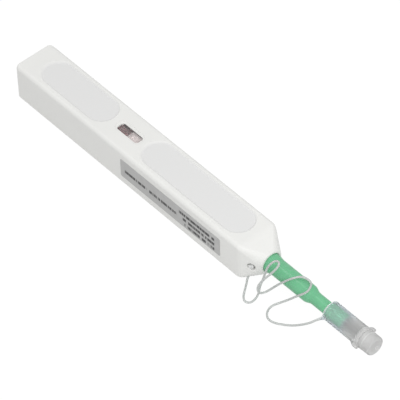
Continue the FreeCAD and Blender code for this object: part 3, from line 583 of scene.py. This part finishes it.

# %% [markdown]
# Behind the carriage sits the return spring: round wire in ten turns, of which the first and the last lie
# close to their neighbours, as the ends of a pressed spring do. The carriage presses it together as the nozzle
# goes in. Here it is drawn at one length and stays with the case.

# %% Return spring
SPRING_X = (2.0, 39.5)
SPRING_MEAN_R = 3.4
SPRING_WIRE_R = 0.45
SPRING_TURNS = 10
SPRING_END_RISE = 2.1 * SPRING_WIRE_R


def spring_rings(steps=480, sides=14):
    """Circles of wire across a helix, whose first and last turns rise by little more than the wire."""
    turns = np.linspace(0, SPRING_TURNS, steps)
    low, high = SPRING_X[0] + SPRING_WIRE_R, SPRING_X[1] - SPRING_WIRE_R
    x = np.interp(turns, (0, 1, SPRING_TURNS - 1, SPRING_TURNS),
                  (low, low + SPRING_END_RISE, high - SPRING_END_RISE, high))
    out = np.stack([0 * turns, np.cos(2 * math.pi * turns), np.sin(2 * math.pi * turns)], -1)
    line = np.column_stack([x, 0 * x, AXIS_Z + 0 * x]) + SPRING_MEAN_R * out
    along = unit(np.gradient(line, axis=0))
    return circle_rings(line, np.cross(along, out), out, SPRING_WIRE_R, sides)


spring = smooth(closed_piece("return_spring_coil", spring_rings()))
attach(spring, "case")
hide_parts("return_spring")
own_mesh(spring)

# %% [markdown]
# The counting window is closed by a clear lens: a plate glued against the inside of the roof, with a block on
# it that fills the opening. It is a stack of the same rounded rectangles as the opening itself, a little
# smaller.

# %% Window lens
LENS_PLATE_T = 0.8
LENS_SINK = 0.7
LENS_EDGE = 0.1
LENS_TOP = HEIGHT - LENS_SINK
LENS_LEVELS = (CAVITY_TOP - LENS_PLATE_T, CAVITY_TOP, CAVITY_TOP, LENS_TOP - LENS_EDGE, LENS_TOP)
LENS_SPREADS = (1.3, 1.3, -0.05, -0.05, -0.15)

lens = smooth(closed_piece("window_lens_moulding", slot_rings(WINDOW_X, WINDOW_HALF, WINDOW_CORNER_R,
                                                              LENS_LEVELS, LENS_SPREADS)))
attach(lens, "case")
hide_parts("window_lens")

# %% [markdown]
# The nozzle is a hollow green moulding that could come off a lathe: a flange inside the case, a slight flare
# at the mouth, a thick stem, a soft shoulder and a thin end. Its outline runs forward along the outside and
# back along the bore, and is carried once round the axis.

# %% Nozzle
NOZZLE_ROOT = 126.0
NOZZLE_END = 184.2
FLANGE_T = 1.0
FLANGE_LIP = 0.7
FLARE_X = (142.7, 146.6)
SHOULDER_X = (163.7, 167.5)
STEM_R = (4.15, 3.7, 2.7)
END_TAPER = (0.6, 0.2)
NOZZLE_BORE_R = 2.0
BUSH_R = 1.65
BUSH_LENGTH = 4.8
BUSH_TAPER = 0.35
NOZZLE_SIDES = 96


def eased(span, radii, steps=14):
    """Corners of a soft change of radius: a half wave of the cosine between two stations."""
    share = np.linspace(0, 1, steps + 1)
    middle, swing = (radii[0] + radii[1]) / 2, (radii[0] - radii[1]) / 2
    return [(span[0] + s * (span[1] - span[0]), middle + swing * math.cos(math.pi * s), 0.0) for s in share]


flange_r = STEM_R[0] + FLANGE_LIP
bush_start = NOZZLE_END - BUSH_LENGTH
nozzle_outline = rounded([
    (NOZZLE_ROOT, NOZZLE_BORE_R, 0.1), (NOZZLE_ROOT, flange_r, 0.15),
    (NOZZLE_ROOT + FLANGE_T, flange_r, 0.15), (NOZZLE_ROOT + FLANGE_T, STEM_R[0], 0.1),
    *eased(FLARE_X, STEM_R[:2]), *eased(SHOULDER_X, STEM_R[1:]),
    (NOZZLE_END - END_TAPER[0], STEM_R[2], 0.3), (NOZZLE_END, STEM_R[2] - END_TAPER[1], 0.12),
    (NOZZLE_END, BUSH_R, 0.1), (bush_start, BUSH_R, 0.1), (bush_start - BUSH_TAPER, NOZZLE_BORE_R, 0.1)])
nozzle = smooth(closed_piece("nozzle_moulding", turned_rings(nozzle_outline, full_turn(NOZZLE_SIDES)),
                             loop=True))
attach(nozzle, "carriage")
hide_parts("nozzle")

# %% [markdown]
# The guide cap is a thick clear tube. It is pushed on the nozzle at the rear and takes a ferrule at the
# front. The push fit is a little tight, so no air is left between them and the green shows through the whole
# wall. Two ears stand out near its front, and the tether runs into a small horn on its rear rim. The ears
# swell out of the wall with soft roots, so they are added to the radius as a function of station and angle.

# %% Guide cap
CAP_X = (175.1, 194.2)
CAP_R = 4.2
CAP_TURN = math.radians(20)
CAP_GRIP_R = 2.66
CAP_CHAMBER_R = 2.15
CAP_PORT_R = 1.27
CAP_STEPS = (184.6, 185.4, 191.0, 191.8)
CAP_RING = (192.4, 192.8)
CAP_RING_DEPTH = 0.22
CAP_RING_R = CAP_R - CAP_RING_DEPTH
SPIGOT_R = 3.0
SPIGOT_END = 195.7
WALL_RISE = (3.3, 3.9)
EAR_RISE = 1.05
EARS = ((CAP_TURN, 191.9, 194.0), (CAP_TURN + math.pi, 189.9, 192.6))
EAR_END = 194.25
EAR_HALF = 0.55
EAR_ROOT = 1.0
CAP_SIDES = 180
CAP_LONGEST = 0.5


def filled(outline, longest):
    """The same closed outline with extra points on it, so that no stretch is longer than a given length."""
    loop = np.vstack([outline, outline[:1]])
    run = np.concatenate([[0.0], np.cumsum(np.linalg.norm(np.diff(loop, axis=0), axis=1))])
    marks = np.unique(np.concatenate([run[:-1], np.arange(0, run[-1], longest)]))
    return np.column_stack([np.interp(marks, run, loop[:, 0]), np.interp(marks, run, loop[:, 1])])


def ear_bump(x, angle, middle, begin, full):
    """How far an ear lifts the wall: a soft rise in station times a soft rise either side of its middle."""
    away = CAP_R * np.abs((angle - middle + math.pi) % (2 * math.pi) - math.pi)
    along = smoothstep((x - begin) / (full - begin))
    return EAR_RISE * along * smoothstep((EAR_HALF + EAR_ROOT - away) / EAR_ROOT)


def round_axis(x, radius, angles):
    """Points at stations, radii and angles about the pen's axis."""
    return np.stack(np.broadcast_arrays(x, radius * np.cos(angles), AXIS_Z + radius * np.sin(angles)), -1)


def cap_rings(outline):
    """The turned outline, with both ears lifting the part that is the outer wall and filling its groove."""
    angles = full_turn(CAP_SIDES)
    x, r = outline[:, :1], outline[:, 1:]
    lift = sum(ear_bump(x, angles[None, :], *ear) for ear in EARS)
    wall = smoothstep((r - WALL_RISE[0]) / (WALL_RISE[1] - WALL_RISE[0])) * (x < EAR_END)
    grooved = (r > CAP_RING_R - TINY) & (x > EARS[1][1]) & (x < CAP_X[1] - CAP_RING_DEPTH)
    fill = (CAP_R - r) * grooved * lift / EAR_RISE
    return round_axis(x, r + (lift + fill) * wall, angles)


cap_outline = filled(rounded([
    (CAP_X[0], CAP_GRIP_R, 0.25), (CAP_X[0], CAP_R, 0.4), (CAP_RING[0] - CAP_RING_DEPTH, CAP_R, 0.06),
    (CAP_RING[0], CAP_RING_R, 0.06), (CAP_RING[1], CAP_RING_R, 0.06),
    (CAP_RING[1] + CAP_RING_DEPTH, CAP_R, 0.06), (CAP_X[1], CAP_R, 0.25), (CAP_X[1], SPIGOT_R, 0.1),
    (SPIGOT_END, SPIGOT_R, 0.25), (SPIGOT_END, CAP_PORT_R, 0.2), (CAP_STEPS[3], CAP_PORT_R, 0.1),
    (CAP_STEPS[2], CAP_CHAMBER_R, 0.1), (CAP_STEPS[1], CAP_CHAMBER_R, 0.1),
    (CAP_STEPS[0], CAP_GRIP_R, 0.1)]), CAP_LONGEST)
cap = closed_piece("guide_cap_moulding", cap_rings(cap_outline), loop=True)

# %% [markdown]
# The horn is a little trumpet: circles that grow along a short bent line, from the cord's own thickness to
# the wall of the cap. Joined to the cap, it makes one clear piece with no faces left inside.

# %% Tether horn on the cap
HORN_LINE = np.array([(175.1, -6.25, 8.46), (175.65, -5.3, 8.52), (176.2, -3.6, 8.65)])
HORN_R = (0.44, 1.1)
UP = (0.0, 0.0, 1.0)


def horn_rings(steps=14, sides=28):
    """Circles across the parabola of three marks, with a radius that grows with the square of the way."""
    s = np.linspace(0, 1, steps + 1)[:, None]
    line = HORN_LINE[0] * (1 - s) ** 2 + 2 * HORN_LINE[1] * s * (1 - s) + HORN_LINE[2] * s ** 2
    along = unit(2 * (HORN_LINE[1] - HORN_LINE[0]) * (1 - s) + 2 * (HORN_LINE[2] - HORN_LINE[1]) * s)
    side = unit(np.cross(along, UP))
    radius = (HORN_R[0] + (HORN_R[1] - HORN_R[0]) * s ** 2)[:, :, None]
    return circle_rings(line, side, np.cross(side, along), radius, sides)


carve(cap, (closed_piece("horn", horn_rings()), "UNION"))
smooth(cap)
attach(cap, "cap")
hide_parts("guide_cap")

# %% [markdown]
# The flip lid is a shallow clear cup over the port. It has a wide round front edge, a dimple where the
# plastic was let into the mould, a thin rim and one ear that meets the cap's far ear at the hinge.

# %% Flip lid
LID_X = (194.3, 200.0)
LID_R = 4.1
LID_RIM_R = 4.2
LID_RIM_END = 196.0
LID_RIM_STEP = 0.12
LID_EAR_END = 195.1
LID_EAR_FADE = 0.4
LID_INSIDE_R = 3.3
LID_ROOF = 198.2
LID_EDGE_R = 0.95
DIMPLE_R = 0.8
DIMPLE_DEPTH = 0.4
DIMPLE_SLANT = 0.15
LID_LONGEST = 0.4


def lid_rings(outline):
    """The turned outline, with the hinge ear lifting the rim on the far side."""
    angles = full_turn(CAP_SIDES)
    x, r = outline[:, :1], outline[:, 1:]
    behind = smoothstep((LID_EAR_END - x) / LID_EAR_FADE + 0.5)
    outside = smoothstep((r - LID_INSIDE_R) / LID_EAR_FADE - 0.5)
    return round_axis(x, r + ear_bump(x, angles[None, :], *EARS[0]) * behind * outside, angles)


dimple_floor = LID_X[1] - DIMPLE_DEPTH
lid_outline = filled(rounded([
    (LID_ROOF, 0.0, 0.0), (LID_ROOF, LID_INSIDE_R, 0.3), (LID_X[0], LID_INSIDE_R, 0.12),
    (LID_X[0], LID_RIM_R, 0.2), (LID_RIM_END, LID_RIM_R, 0.08), (LID_RIM_END + LID_RIM_STEP, LID_R, 0.08),
    (LID_X[1], LID_R, LID_EDGE_R), (LID_X[1], DIMPLE_R, 0.15), (dimple_floor, DIMPLE_R - DIMPLE_SLANT, 0.15),
    (dimple_floor, 0.0, 0.0)]), LID_LONGEST)
on_axis = np.flatnonzero(lid_outline[:, 1] < TINY)
lid = smooth(closed_piece("flip_lid_moulding", lid_rings(lid_outline[:on_axis[1] + 1])))
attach(lid, "lid")
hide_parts("flip_lid")

# %% [markdown]
# Finishes are built from a few small helpers: one makes a shader with constant values on its own sockets, one
# adds a node with its inputs, and one does arithmetic. Patterns read Object coordinates, which are metres in
# the frame for every piece, so a grain has its true size everywhere.

# %% Helpers for finishes
NOISE_RANGE = (0.3, 0.7)


def shader_with(name, values):
    """A new material, its node tree and its shader, with constant values on the shader's sockets."""
    made = bpy.data.materials.new(name)
    made.use_nodes = True
    shader = made.node_tree.nodes["Principled BSDF"]
    for socket, value in values.items():
        shader.inputs[socket].default_value = value
    return made, made.node_tree, shader


def add(tree, kind, values=None, **settings):
    """A new node of a kind, with its settings, and with values or other sockets on its inputs."""
    node = tree.nodes.new("ShaderNode" + kind)
    for setting, value in settings.items():
        setattr(node, setting, value)
    for socket, value in (values or {}).items():
        if isinstance(value, bpy.types.NodeSocket):
            tree.links.new(value, node.inputs[socket])
        else:
            node.inputs[socket].default_value = value
    return node


def calc(tree, operation, *values):
    """The result of one arithmetic step on sockets or numbers."""
    return add(tree, "Math", dict(enumerate(values)), operation=operation).outputs[0]


def object_point(tree):
    """Object coordinates."""
    return add(tree, "TexCoord").outputs["Object"]


def object_place(tree, *axes):
    """The object coordinates along some axes, each as a socket of its own."""
    split = add(tree, "SeparateXYZ", {0: object_point(tree)})
    return [split.outputs[axis] for axis in axes]


def cloud(tree, where, scale, detail):
    """Noise at a place, with a scale in lumps to the metre."""
    return add(tree, "TexNoise", {"Vector": where, "Scale": scale, "Detail": detail}).outputs[0]


def noise(tree, size_mm, detail=2.0):
    """A cloud of noise whose lumps are about a size in millimetres."""
    return cloud(tree, object_point(tree), 1 / (size_mm * MM), detail)


def ramp(tree, value, low, high, start=0.0, end=1.0):
    """A value carried from one range to another, clipped at its ends."""
    return add(tree, "MapRange", {"Value": value, "From Min": low, "From Max": high, "To Min": start,
                                  "To Max": end}).outputs[0]


def step_at(tree, x, span, start=0.0, end=1.0):
    """A value that changes in a straight line between two stations."""
    return ramp(tree, x, float(station(span[0])[0]), float(station(span[1])[0]), start, end)


def between(tree, share, first, last):
    """A colour between two colours or colour sockets."""
    return add(tree, "Mix", {0: share, 6: first, 7: last}, data_type="RGBA").outputs[2]


def between_numbers(tree, share, first, last):
    """A number between two numbers or sockets."""
    return add(tree, "Mix", {0: share, 2: first, 3: last}).outputs[0]


def colour(red, green, blue):
    """A colour with full cover."""
    return (red, green, blue, 1.0)


def tinted(tint, factor):
    """A colour made lighter or darker."""
    return (*(channel * factor for channel in tint[:3]), 1.0)


# %% [markdown]
# Moulded plastic is never one flat colour. It has a faint cloud where the melt flowed, a fine spark-eroded
# grain from the mould, and a gloss that varies with that grain. One function gives all three, with sizes in
# millimetres.

# %% Moulded plastic
GRAIN_RANGE = (0.25, 0.75)
GRAIN_STRENGTH = 0.6
GRAIN_DEPTH = 0.004
GLOSS_SWING = 0.05


def moulded(name, tint, roughness, grain_mm=0.22, cloud_mm=14.0, drift=0.02, sockets=None):
    """Plastic with a drifting tint, a fine grain and a gloss that follows the grain."""
    finish, tree, shader = shader_with(name, sockets or {})
    flow = noise(tree, cloud_mm, 3.0)
    grain = noise(tree, grain_mm, 2.0)
    shade = between(tree, ramp(tree, flow, *NOISE_RANGE), tinted(tint, 1 - drift), tinted(tint, 1 + drift))
    gloss = ramp(tree, grain, *GRAIN_RANGE, roughness - GLOSS_SWING, roughness + GLOSS_SWING)
    bump = add(tree, "Bump", {"Height": grain, "Strength": GRAIN_STRENGTH, "Distance": GRAIN_DEPTH * MM})
    tree.links.new(shade, shader.inputs["Base Color"])
    tree.links.new(gloss, shader.inputs["Roughness"])
    tree.links.new(bump.outputs[0], shader.inputs["Normal"])
    return finish, tree, shader, shade


# %% [markdown]
# The case is white with a satin skin, and its thumb recesses are a shade cooler. The nozzle is a glossier
# green that lets a little light in, so its colour is soft at the edges.

# %% Finishes of the case and the nozzle
CASE_WHITE = colour(0.81, 0.81, 0.79)
RECESS_WHITE = colour(0.75, 0.75, 0.745)
NOZZLE_GREEN = colour(0.17, 0.50, 0.28)
NOZZLE_SOCKETS = {"Specular IOR Level": 0.2, "Subsurface Weight": 0.12, "Subsurface Radius": (0.4, 1.0, 0.5),
                  "Subsurface Scale": 0.0006}


def case_finish():
    """White satin plastic, a shade cooler in the thumb recesses."""
    finish, tree, shader, shade = moulded("case_white_satin", CASE_WHITE, 0.5, drift=0.012)
    recess = add(tree, "Attribute", attribute_name="recess").outputs["Fac"]
    tree.links.new(between(tree, recess, shade, RECESS_WHITE), shader.inputs["Base Color"])
    return finish


def nozzle_finish():
    """Green satin plastic, a little milky."""
    return moulded("nozzle_green_satin", NOZZLE_GREEN, 0.22, grain_mm=0.3, cloud_mm=5.0, drift=0.05,
                   sockets=NOZZLE_SOCKETS)[0]


case.data.materials.append(case_finish())
nozzle.data.materials.append(nozzle_finish())

# %% [markdown]
# Clear plastic bends the light that goes through it. Light from a lamp would have to find its way through the
# wall by chance, so for shadow rays the wall is see-through instead. The cap and the cord are of milky
# plastic, which also scatters light back, so only a share of it goes through. A thin band of lighter tint at
# some edge stations of the cap and the lid is a painted highlight.

# %% Clear finishes
SHADOW_TINT = colour(0.95, 0.95, 0.95)
FROST_SWING = 0.2
# Painted highlight: a lighter tint in a thin band at some edge stations of the cap and the lid.
EDGE_HIGHLIGHT_TINT = colour(0.84, 0.85, 0.845)
EDGE_HIGHLIGHT_HALF = 0.08
RIM_TINT = colour(0.80, 0.82, 0.815)
RIM_FADE = (175.5, 175.9)
GRIP_TINT = colour(0.62, 0.65, 0.70)
GRIP_FADE = (183.6, 186.6)
CAP_TINT = colour(0.585, 0.59, 0.585)
LID_TINT = colour(0.66, 0.66, 0.655)
RIM_CLEAR, GRIP_CLEAR, CAP_CLEAR, LID_CLEAR = 0.35, 0.72, 0.64, 0.4
CAP_IOR = 1.2
CAP_FROST = 0.45
CORD_TINT = colour(0.60, 0.618, 0.608)
KNOT_TINT = colour(0.74, 0.745, 0.74)


def clear(name, tint, roughness, weight=1.0, ior=1.49, frost_mm=0.5):
    """Clear plastic with a light frost, of which a share lets light through, also the light of lamps."""
    finish, tree, shader = shader_with(name, {"Base Color": tint, "IOR": ior, "Transmission Weight": weight})
    frost = ramp(tree, noise(tree, frost_mm, 3.0), *NOISE_RANGE, roughness * (1 - FROST_SWING),
                 roughness * (1 + FROST_SWING))
    tree.links.new(frost, shader.inputs["Roughness"])
    passing = add(tree, "BsdfTransparent", {"Color": SHADOW_TINT})
    path = add(tree, "LightPath")
    both = add(tree, "MixShader", {0: path.outputs["Is Shadow Ray"], 1: shader.outputs[0],
                                   2: passing.outputs[0]})
    tree.links.new(both.outputs[0], tree.nodes["Material Output"].inputs["Surface"])
    return finish, tree, shader


def cap_finish(name, tint, weight, edges, zones=()):
    """Milky plastic with a painted highlight at some edge stations and another tint and share of light in some
    zones.
    """
    finish, tree, shader = clear(name, tint, CAP_FROST, weight, CAP_IOR)
    x, = object_place(tree, "X")
    shade, passing = tint, weight
    for span, zone_tint, zone_weight in zones:
        share = step_at(tree, x, span)
        shade = between(tree, share, shade, zone_tint)
        passing = between_numbers(tree, share, passing, zone_weight)
    # Each edge station gets a thin band of lighter tint, which is a painted highlight.
    for edge in edges:
        away = calc(tree, "ABSOLUTE", calc(tree, "SUBTRACT", x, float(station(edge)[0])))
        near = ramp(tree, away, EDGE_HIGHLIGHT_HALF * MM, 2 * EDGE_HIGHLIGHT_HALF * MM, 1.0, 0.0)
        shade = between(tree, near, shade, EDGE_HIGHLIGHT_TINT)
    tree.links.new(shade, shader.inputs["Base Color"])
    if zones:
        tree.links.new(passing, shader.inputs["Transmission Weight"])
    return finish


cap_zones = [(RIM_FADE, GRIP_TINT, GRIP_CLEAR), (GRIP_FADE, CAP_TINT, CAP_CLEAR),
             (CAP_RING, LID_TINT, LID_CLEAR)]
cap.data.materials.append(cap_finish("cap_clear_frosted", RIM_TINT, RIM_CLEAR, CAP_RING[:1], cap_zones))
lid.data.materials.append(cap_finish("lid_clear_frosted", LID_TINT, LID_CLEAR, (LID_RIM_END,)))
cord_clear = clear("tether_clear_smooth", CORD_TINT, 0.25, 0.32)[0]
knot_milky = clear("tether_knot_milky", KNOT_TINT, 0.3, 0.1)[0]
for piece, finish in ((near_cord, cord_clear), (far_cord, cord_clear), (knot, knot_milky)):
    piece.data.materials.clear()
    piece.data.materials.append(finish)

# %% [markdown]
# The lens is the clearest piece. Its rear part shows what lies below it. Its front part has a pale milky tint,
# which is painted light standing in for the lit thread below it. A dark line along its far side is painted
# shadow of the opening's far wall.

# %% Finish of the lens
LENS_TINT = colour(0.95, 0.91, 0.91)
LENS_CLEAR = 0.905
LENS_ROUGHNESS = 0.06
LENS_IOR = 1.25
# The pale front tint is painted light, and the dark line along the far side is painted shadow.
PALE_LIGHT_TINT = colour(0.88, 0.81, 0.80)
PALE_LIGHT_CLEAR = 0.55
PALE_LIGHT_START = (60.2, 60.5)
FAR_WALL_SHADOW = colour(0.06, 0.035, 0.037)
FAR_WALL_SHADOW_CLEAR = 0.1
FAR_WALL_SHADOW_WIDTH = 0.32


def lens_finish():
    """Clear plastic with a pale milky tint over its front part, which is painted light, and a dark line along
    its far side, which is painted shadow.
    """
    finish, tree, shader = clear("lens_clear_polished", LENS_TINT, LENS_ROUGHNESS, LENS_CLEAR, LENS_IOR)
    x, y = object_place(tree, "X", "Y")
    # Painted light: the front part turns pale and milky. Painted shadow: a dark line follows the far side.
    pale_light_share = step_at(tree, x, PALE_LIGHT_START)
    far_wall_shadow = calc(tree, "COMPARE", y, WINDOW_HALF * MM, FAR_WALL_SHADOW_WIDTH * MM)
    shade = between(tree, pale_light_share, LENS_TINT, PALE_LIGHT_TINT)
    passing = between_numbers(tree, pale_light_share, LENS_CLEAR, PALE_LIGHT_CLEAR)
    tree.links.new(between(tree, far_wall_shadow, shade, FAR_WALL_SHADOW), shader.inputs["Base Color"])
    tree.links.new(between_numbers(tree, far_wall_shadow, passing, FAR_WALL_SHADOW_CLEAR), shader.inputs["Transmission Weight"])
    return finish


lens.data.materials.append(lens_finish())

# %% [markdown]
# The label is a grey film with rows of dark print. The print stays plain: bars of uneven length, cut out of a
# band by a noise that only changes along the pen and from row to row, with wider gaps from a slower noise.
# One row runs the whole length, and two shorter rows stand above and below it near the front.

# %% Label
LABEL_GREY = colour(0.47, 0.47, 0.465)
LABEL_DRIFT = 0.04
PRINT_DARK = colour(0.035, 0.035, 0.035)
PRINT_ROWS = ((11.05, 100.0), (8.4, 67.7), (5.75, 102.9))
PRINT_END = 120.5
PRINT_HALF_HEIGHT = 0.75
ROW_SHIFT = 0.1
BARS = 1 / (0.62 * MM)
BAR_RANGE = (0.35, 0.43)
GAPS = 0.22 * BARS
GAP_RANGE = (0.32, 0.34)


def label_finish():
    """Grey film with rows of plain dark bars."""
    finish, tree, shader = shader_with("label_grey_film", {"Roughness": 0.5})
    x, z = object_place(tree, "X", "Z")
    printed = None
    for row, (row_z, row_start) in enumerate(PRINT_ROWS):
        spot = add(tree, "CombineXYZ", {"X": x, "Y": row * ROW_SHIFT}).outputs[0]
        bars = ramp(tree, cloud(tree, spot, BARS, 0.0), *BAR_RANGE)
        gaps = ramp(tree, cloud(tree, spot, GAPS, 0.0), *GAP_RANGE)
        band = calc(tree, "COMPARE", z, row_z * MM, PRINT_HALF_HEIGHT * MM)
        middle, half = (row_start + PRINT_END) / 2, (PRINT_END - row_start) / 2
        reach = calc(tree, "COMPARE", x, float(station(middle)[0]), half * MM)
        ink = calc(tree, "MULTIPLY", calc(tree, "MULTIPLY", band, reach), calc(tree, "MULTIPLY", bars, gaps))
        printed = ink if printed is None else calc(tree, "MAXIMUM", printed, ink)
    film = between(tree, ramp(tree, noise(tree, 3.0, 4.0), *NOISE_RANGE), tinted(LABEL_GREY, 1 - LABEL_DRIFT),
                   tinted(LABEL_GREY, 1 + LABEL_DRIFT))
    tree.links.new(between(tree, printed, film, PRINT_DARK), shader.inputs["Base Color"])
    return finish


# %% [markdown]
# The pieces inside show through the window and the cap, and when the nozzle is pressed. Apart from the spring
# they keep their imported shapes, and all get finishes of their own: bright steel, wound thread with its turns,
# brown reels, cream gears and the dark tip.

# %% Finishes of the inner pieces
STREAK_SQUEEZE = (0.08, 1.0, 1.0)
STREAKS = 6000.0
STEEL_SWING = 0.08
LEAF_COLOURS = (colour(0.05, 0.012, 0.016), colour(0.52, 0.15, 0.165))
LEAF_BANDS = 1 / (1.1 * MM)
LEAF_FADE = (53.0, 57.0)
THREAD_VALLEY_SHADE_AND_RIDGE = (colour(0.88, 0.83, 0.83), colour(0.97, 0.94, 0.94))
THREAD_TURNS = 900.0
THREAD_DEPTH = 0.05


def steel_finish(name, tint, roughness):
    """Drawn steel with fine streaks that vary its gloss."""
    finish, tree, shader = shader_with(name, {"Base Color": tint, "Metallic": 1.0})
    streak = add(tree, "Mapping", {"Vector": object_point(tree), "Scale": STREAK_SQUEEZE}).outputs[0]
    gloss = ramp(tree, cloud(tree, streak, STREAKS, 2.0), *NOISE_RANGE, roughness - STEEL_SWING,
                 roughness + STEEL_SWING)
    tree.links.new(gloss, shader.inputs["Roughness"])
    return finish


def leaf_finish():
    """Lacquered bronze leaf with bands across it from rolling, darker towards its free end."""
    finish, tree, shader = shader_with("brake_bronze", {"Roughness": 0.4})
    x, = object_place(tree, "X")
    spot = add(tree, "CombineXYZ", {"X": x}).outputs[0]
    bands = ramp(tree, cloud(tree, spot, LEAF_BANDS, 2.0), 0.35, 0.65, 0.55, 1.0)
    bright = calc(tree, "MULTIPLY", bands, step_at(tree, x, LEAF_FADE, 1.0, 0.4))
    tree.links.new(between(tree, bright, *LEAF_COLOURS), shader.inputs["Base Color"])
    return finish


def thread_finish():
    """Fine thread in turns side by side across the reel, as bumped ridges with painted shade in the valleys
    between them.
    """
    finish, tree, shader = shader_with("thread_white_wound", {"Roughness": 0.8, "Sheen Weight": 0.2})
    turns = add(tree, "TexWave", {"Vector": object_point(tree), "Scale": THREAD_TURNS, "Distortion": 1.5,
                                  "Detail": 1.0}, bands_direction="Y").outputs["Fac"]
    # The darker colour in the wave's valleys is painted shade between the turns.
    tree.links.new(between(tree, turns, *THREAD_VALLEY_SHADE_AND_RIDGE), shader.inputs["Base Color"])
    bump = add(tree, "Bump", {"Height": turns, "Strength": 0.4, "Distance": THREAD_DEPTH * MM})
    tree.links.new(bump.outputs[0], shader.inputs["Normal"])
    return finish


steel = steel_finish("steel_bright", colour(0.56, 0.56, 0.57), 0.3)
bronze = leaf_finish()
thread = thread_finish()
inner_white = moulded("inner_white_matt", colour(0.72, 0.70, 0.68), 0.5)[0]
brown = moulded("reel_brown_matt", colour(0.16, 0.07, 0.08), 0.5, drift=0.08)[0]
cream = moulded("gear_cream_matt", colour(0.70, 0.66, 0.55), 0.5, drift=0.03)[0]
dark = moulded("tip_dark_matt", colour(0.10, 0.10, 0.11), 0.45, drift=0.06)[0]
NODE_FINISHES = {
    case.data.materials[0]: ["base_cover"],
    label_finish(): ["side_label"],
    steel: ["cam_pin", "reel_axles", "thread_roller"],
    bronze: ["brake_spring"],
    thread: ["feed_thread", "return_thread", "take_up_thread", "supply_thread"],
    inner_white: ["carriage_frame", "spindle"],
    brown: ["take_up_reel", "supply_reel"],
    cream: ["drive_gear", "ratchet_wheel", "ratchet_pawl"],
    dark: ["cleaning_tip"],
}
for finish, names in NODE_FINISHES.items():
    for name in names:
        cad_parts[name].data.materials.clear()
        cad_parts[name].data.materials.append(finish)
spring.data.materials.append(steel)
print("finishes:", len(bpy.data.materials))

# %% [markdown]
# The pen lies on a plain white table in soft studio light. The table looks white to the camera, and to gloss
# and clear plastic, by a share of its own light, while a smaller share of plain diffuse white keeps a faint
# shadow. To all other rays it is an ordinary pale table, so the pen is lit at a plain level. A wide lamp in
# front gives the faces their steps of grey, and a small one behind draws streaks of gloss along the round
# pieces.

# %% Table, sky and lamps
TABLE_HALF = 2.0
TABLE_GREY = colour(0.7, 0.7, 0.7)
TABLE_GLOW = 0.9
TABLE_LIGHT = 1.06
WHITE = colour(1.0, 1.0, 1.0)
SKY = 0.675
KEY_WATTS = 1.37
KEY_SIZE = 0.42
KEY_FROM = Vector((0.38, -0.17, 0.41))
STRIP_WATTS = 1.1
STRIP_SIZE = 0.2
STRIP_FROM = Vector((-0.51, -0.13, 0.85))


def seen_directly(tree):
    """1 for rays that show the background: from the camera, off gloss and through clear plastic."""
    path = add(tree, "LightPath")
    direct = calc(tree, "MAXIMUM", path.outputs["Is Camera Ray"], path.outputs["Is Glossy Ray"])
    return calc(tree, "MAXIMUM", direct, path.outputs["Is Transmission Ray"])


def table_finish():
    """Pale matt table that looks white where it is seen directly, apart from a faint shadow."""
    finish, tree, shader = shader_with("table_white", {})
    plain = add(tree, "BsdfDiffuse", {"Color": TABLE_GREY})
    glow = add(tree, "Emission", {"Color": WHITE, "Strength": TABLE_LIGHT})
    share = calc(tree, "MULTIPLY", seen_directly(tree), TABLE_GLOW)
    both = add(tree, "MixShader", {0: share, 1: plain.outputs[0], 2: glow.outputs[0]})
    tree.links.new(both.outputs[0], tree.nodes["Material Output"].inputs["Surface"])
    return finish


table_mesh = bpy.data.meshes.new("table")
corner = TABLE_HALF * np.array([(-1, -1, 0), (1, -1, 0), (1, 1, 0), (-1, 1, 0)])
table_mesh.from_pydata(corner.tolist(), [], [(0, 1, 2, 3)])
table = link(bpy.data.objects.new("table", table_mesh))
table_mesh.materials.append(table_finish())

world = bpy.data.worlds.new("sky")
world.use_nodes = True
bpy.context.scene.world = world
background = world.node_tree.nodes["Background"]
background.inputs["Color"].default_value = WHITE
strength = ramp(world.node_tree, seen_directly(world.node_tree), 0.0, 1.0, SKY, 1.0)
world.node_tree.links.new(strength, background.inputs["Strength"])


def lamp(name, watts, size, position):
    """A square lamp that faces the pen."""
    light = bpy.data.lights.new(name, "AREA")
    light.energy = watts
    light.size = size
    holder = link(bpy.data.objects.new(name, light))
    facing = position.to_track_quat("Z", "Y").to_matrix().to_4x4()
    holder.matrix_world = Matrix.Translation(position) @ facing


lamp("key", KEY_WATTS, KEY_SIZE, KEY_FROM)
lamp("strip", STRIP_WATTS, STRIP_SIZE, STRIP_FROM)
bpy.context.scene.view_settings.view_transform = "Standard"
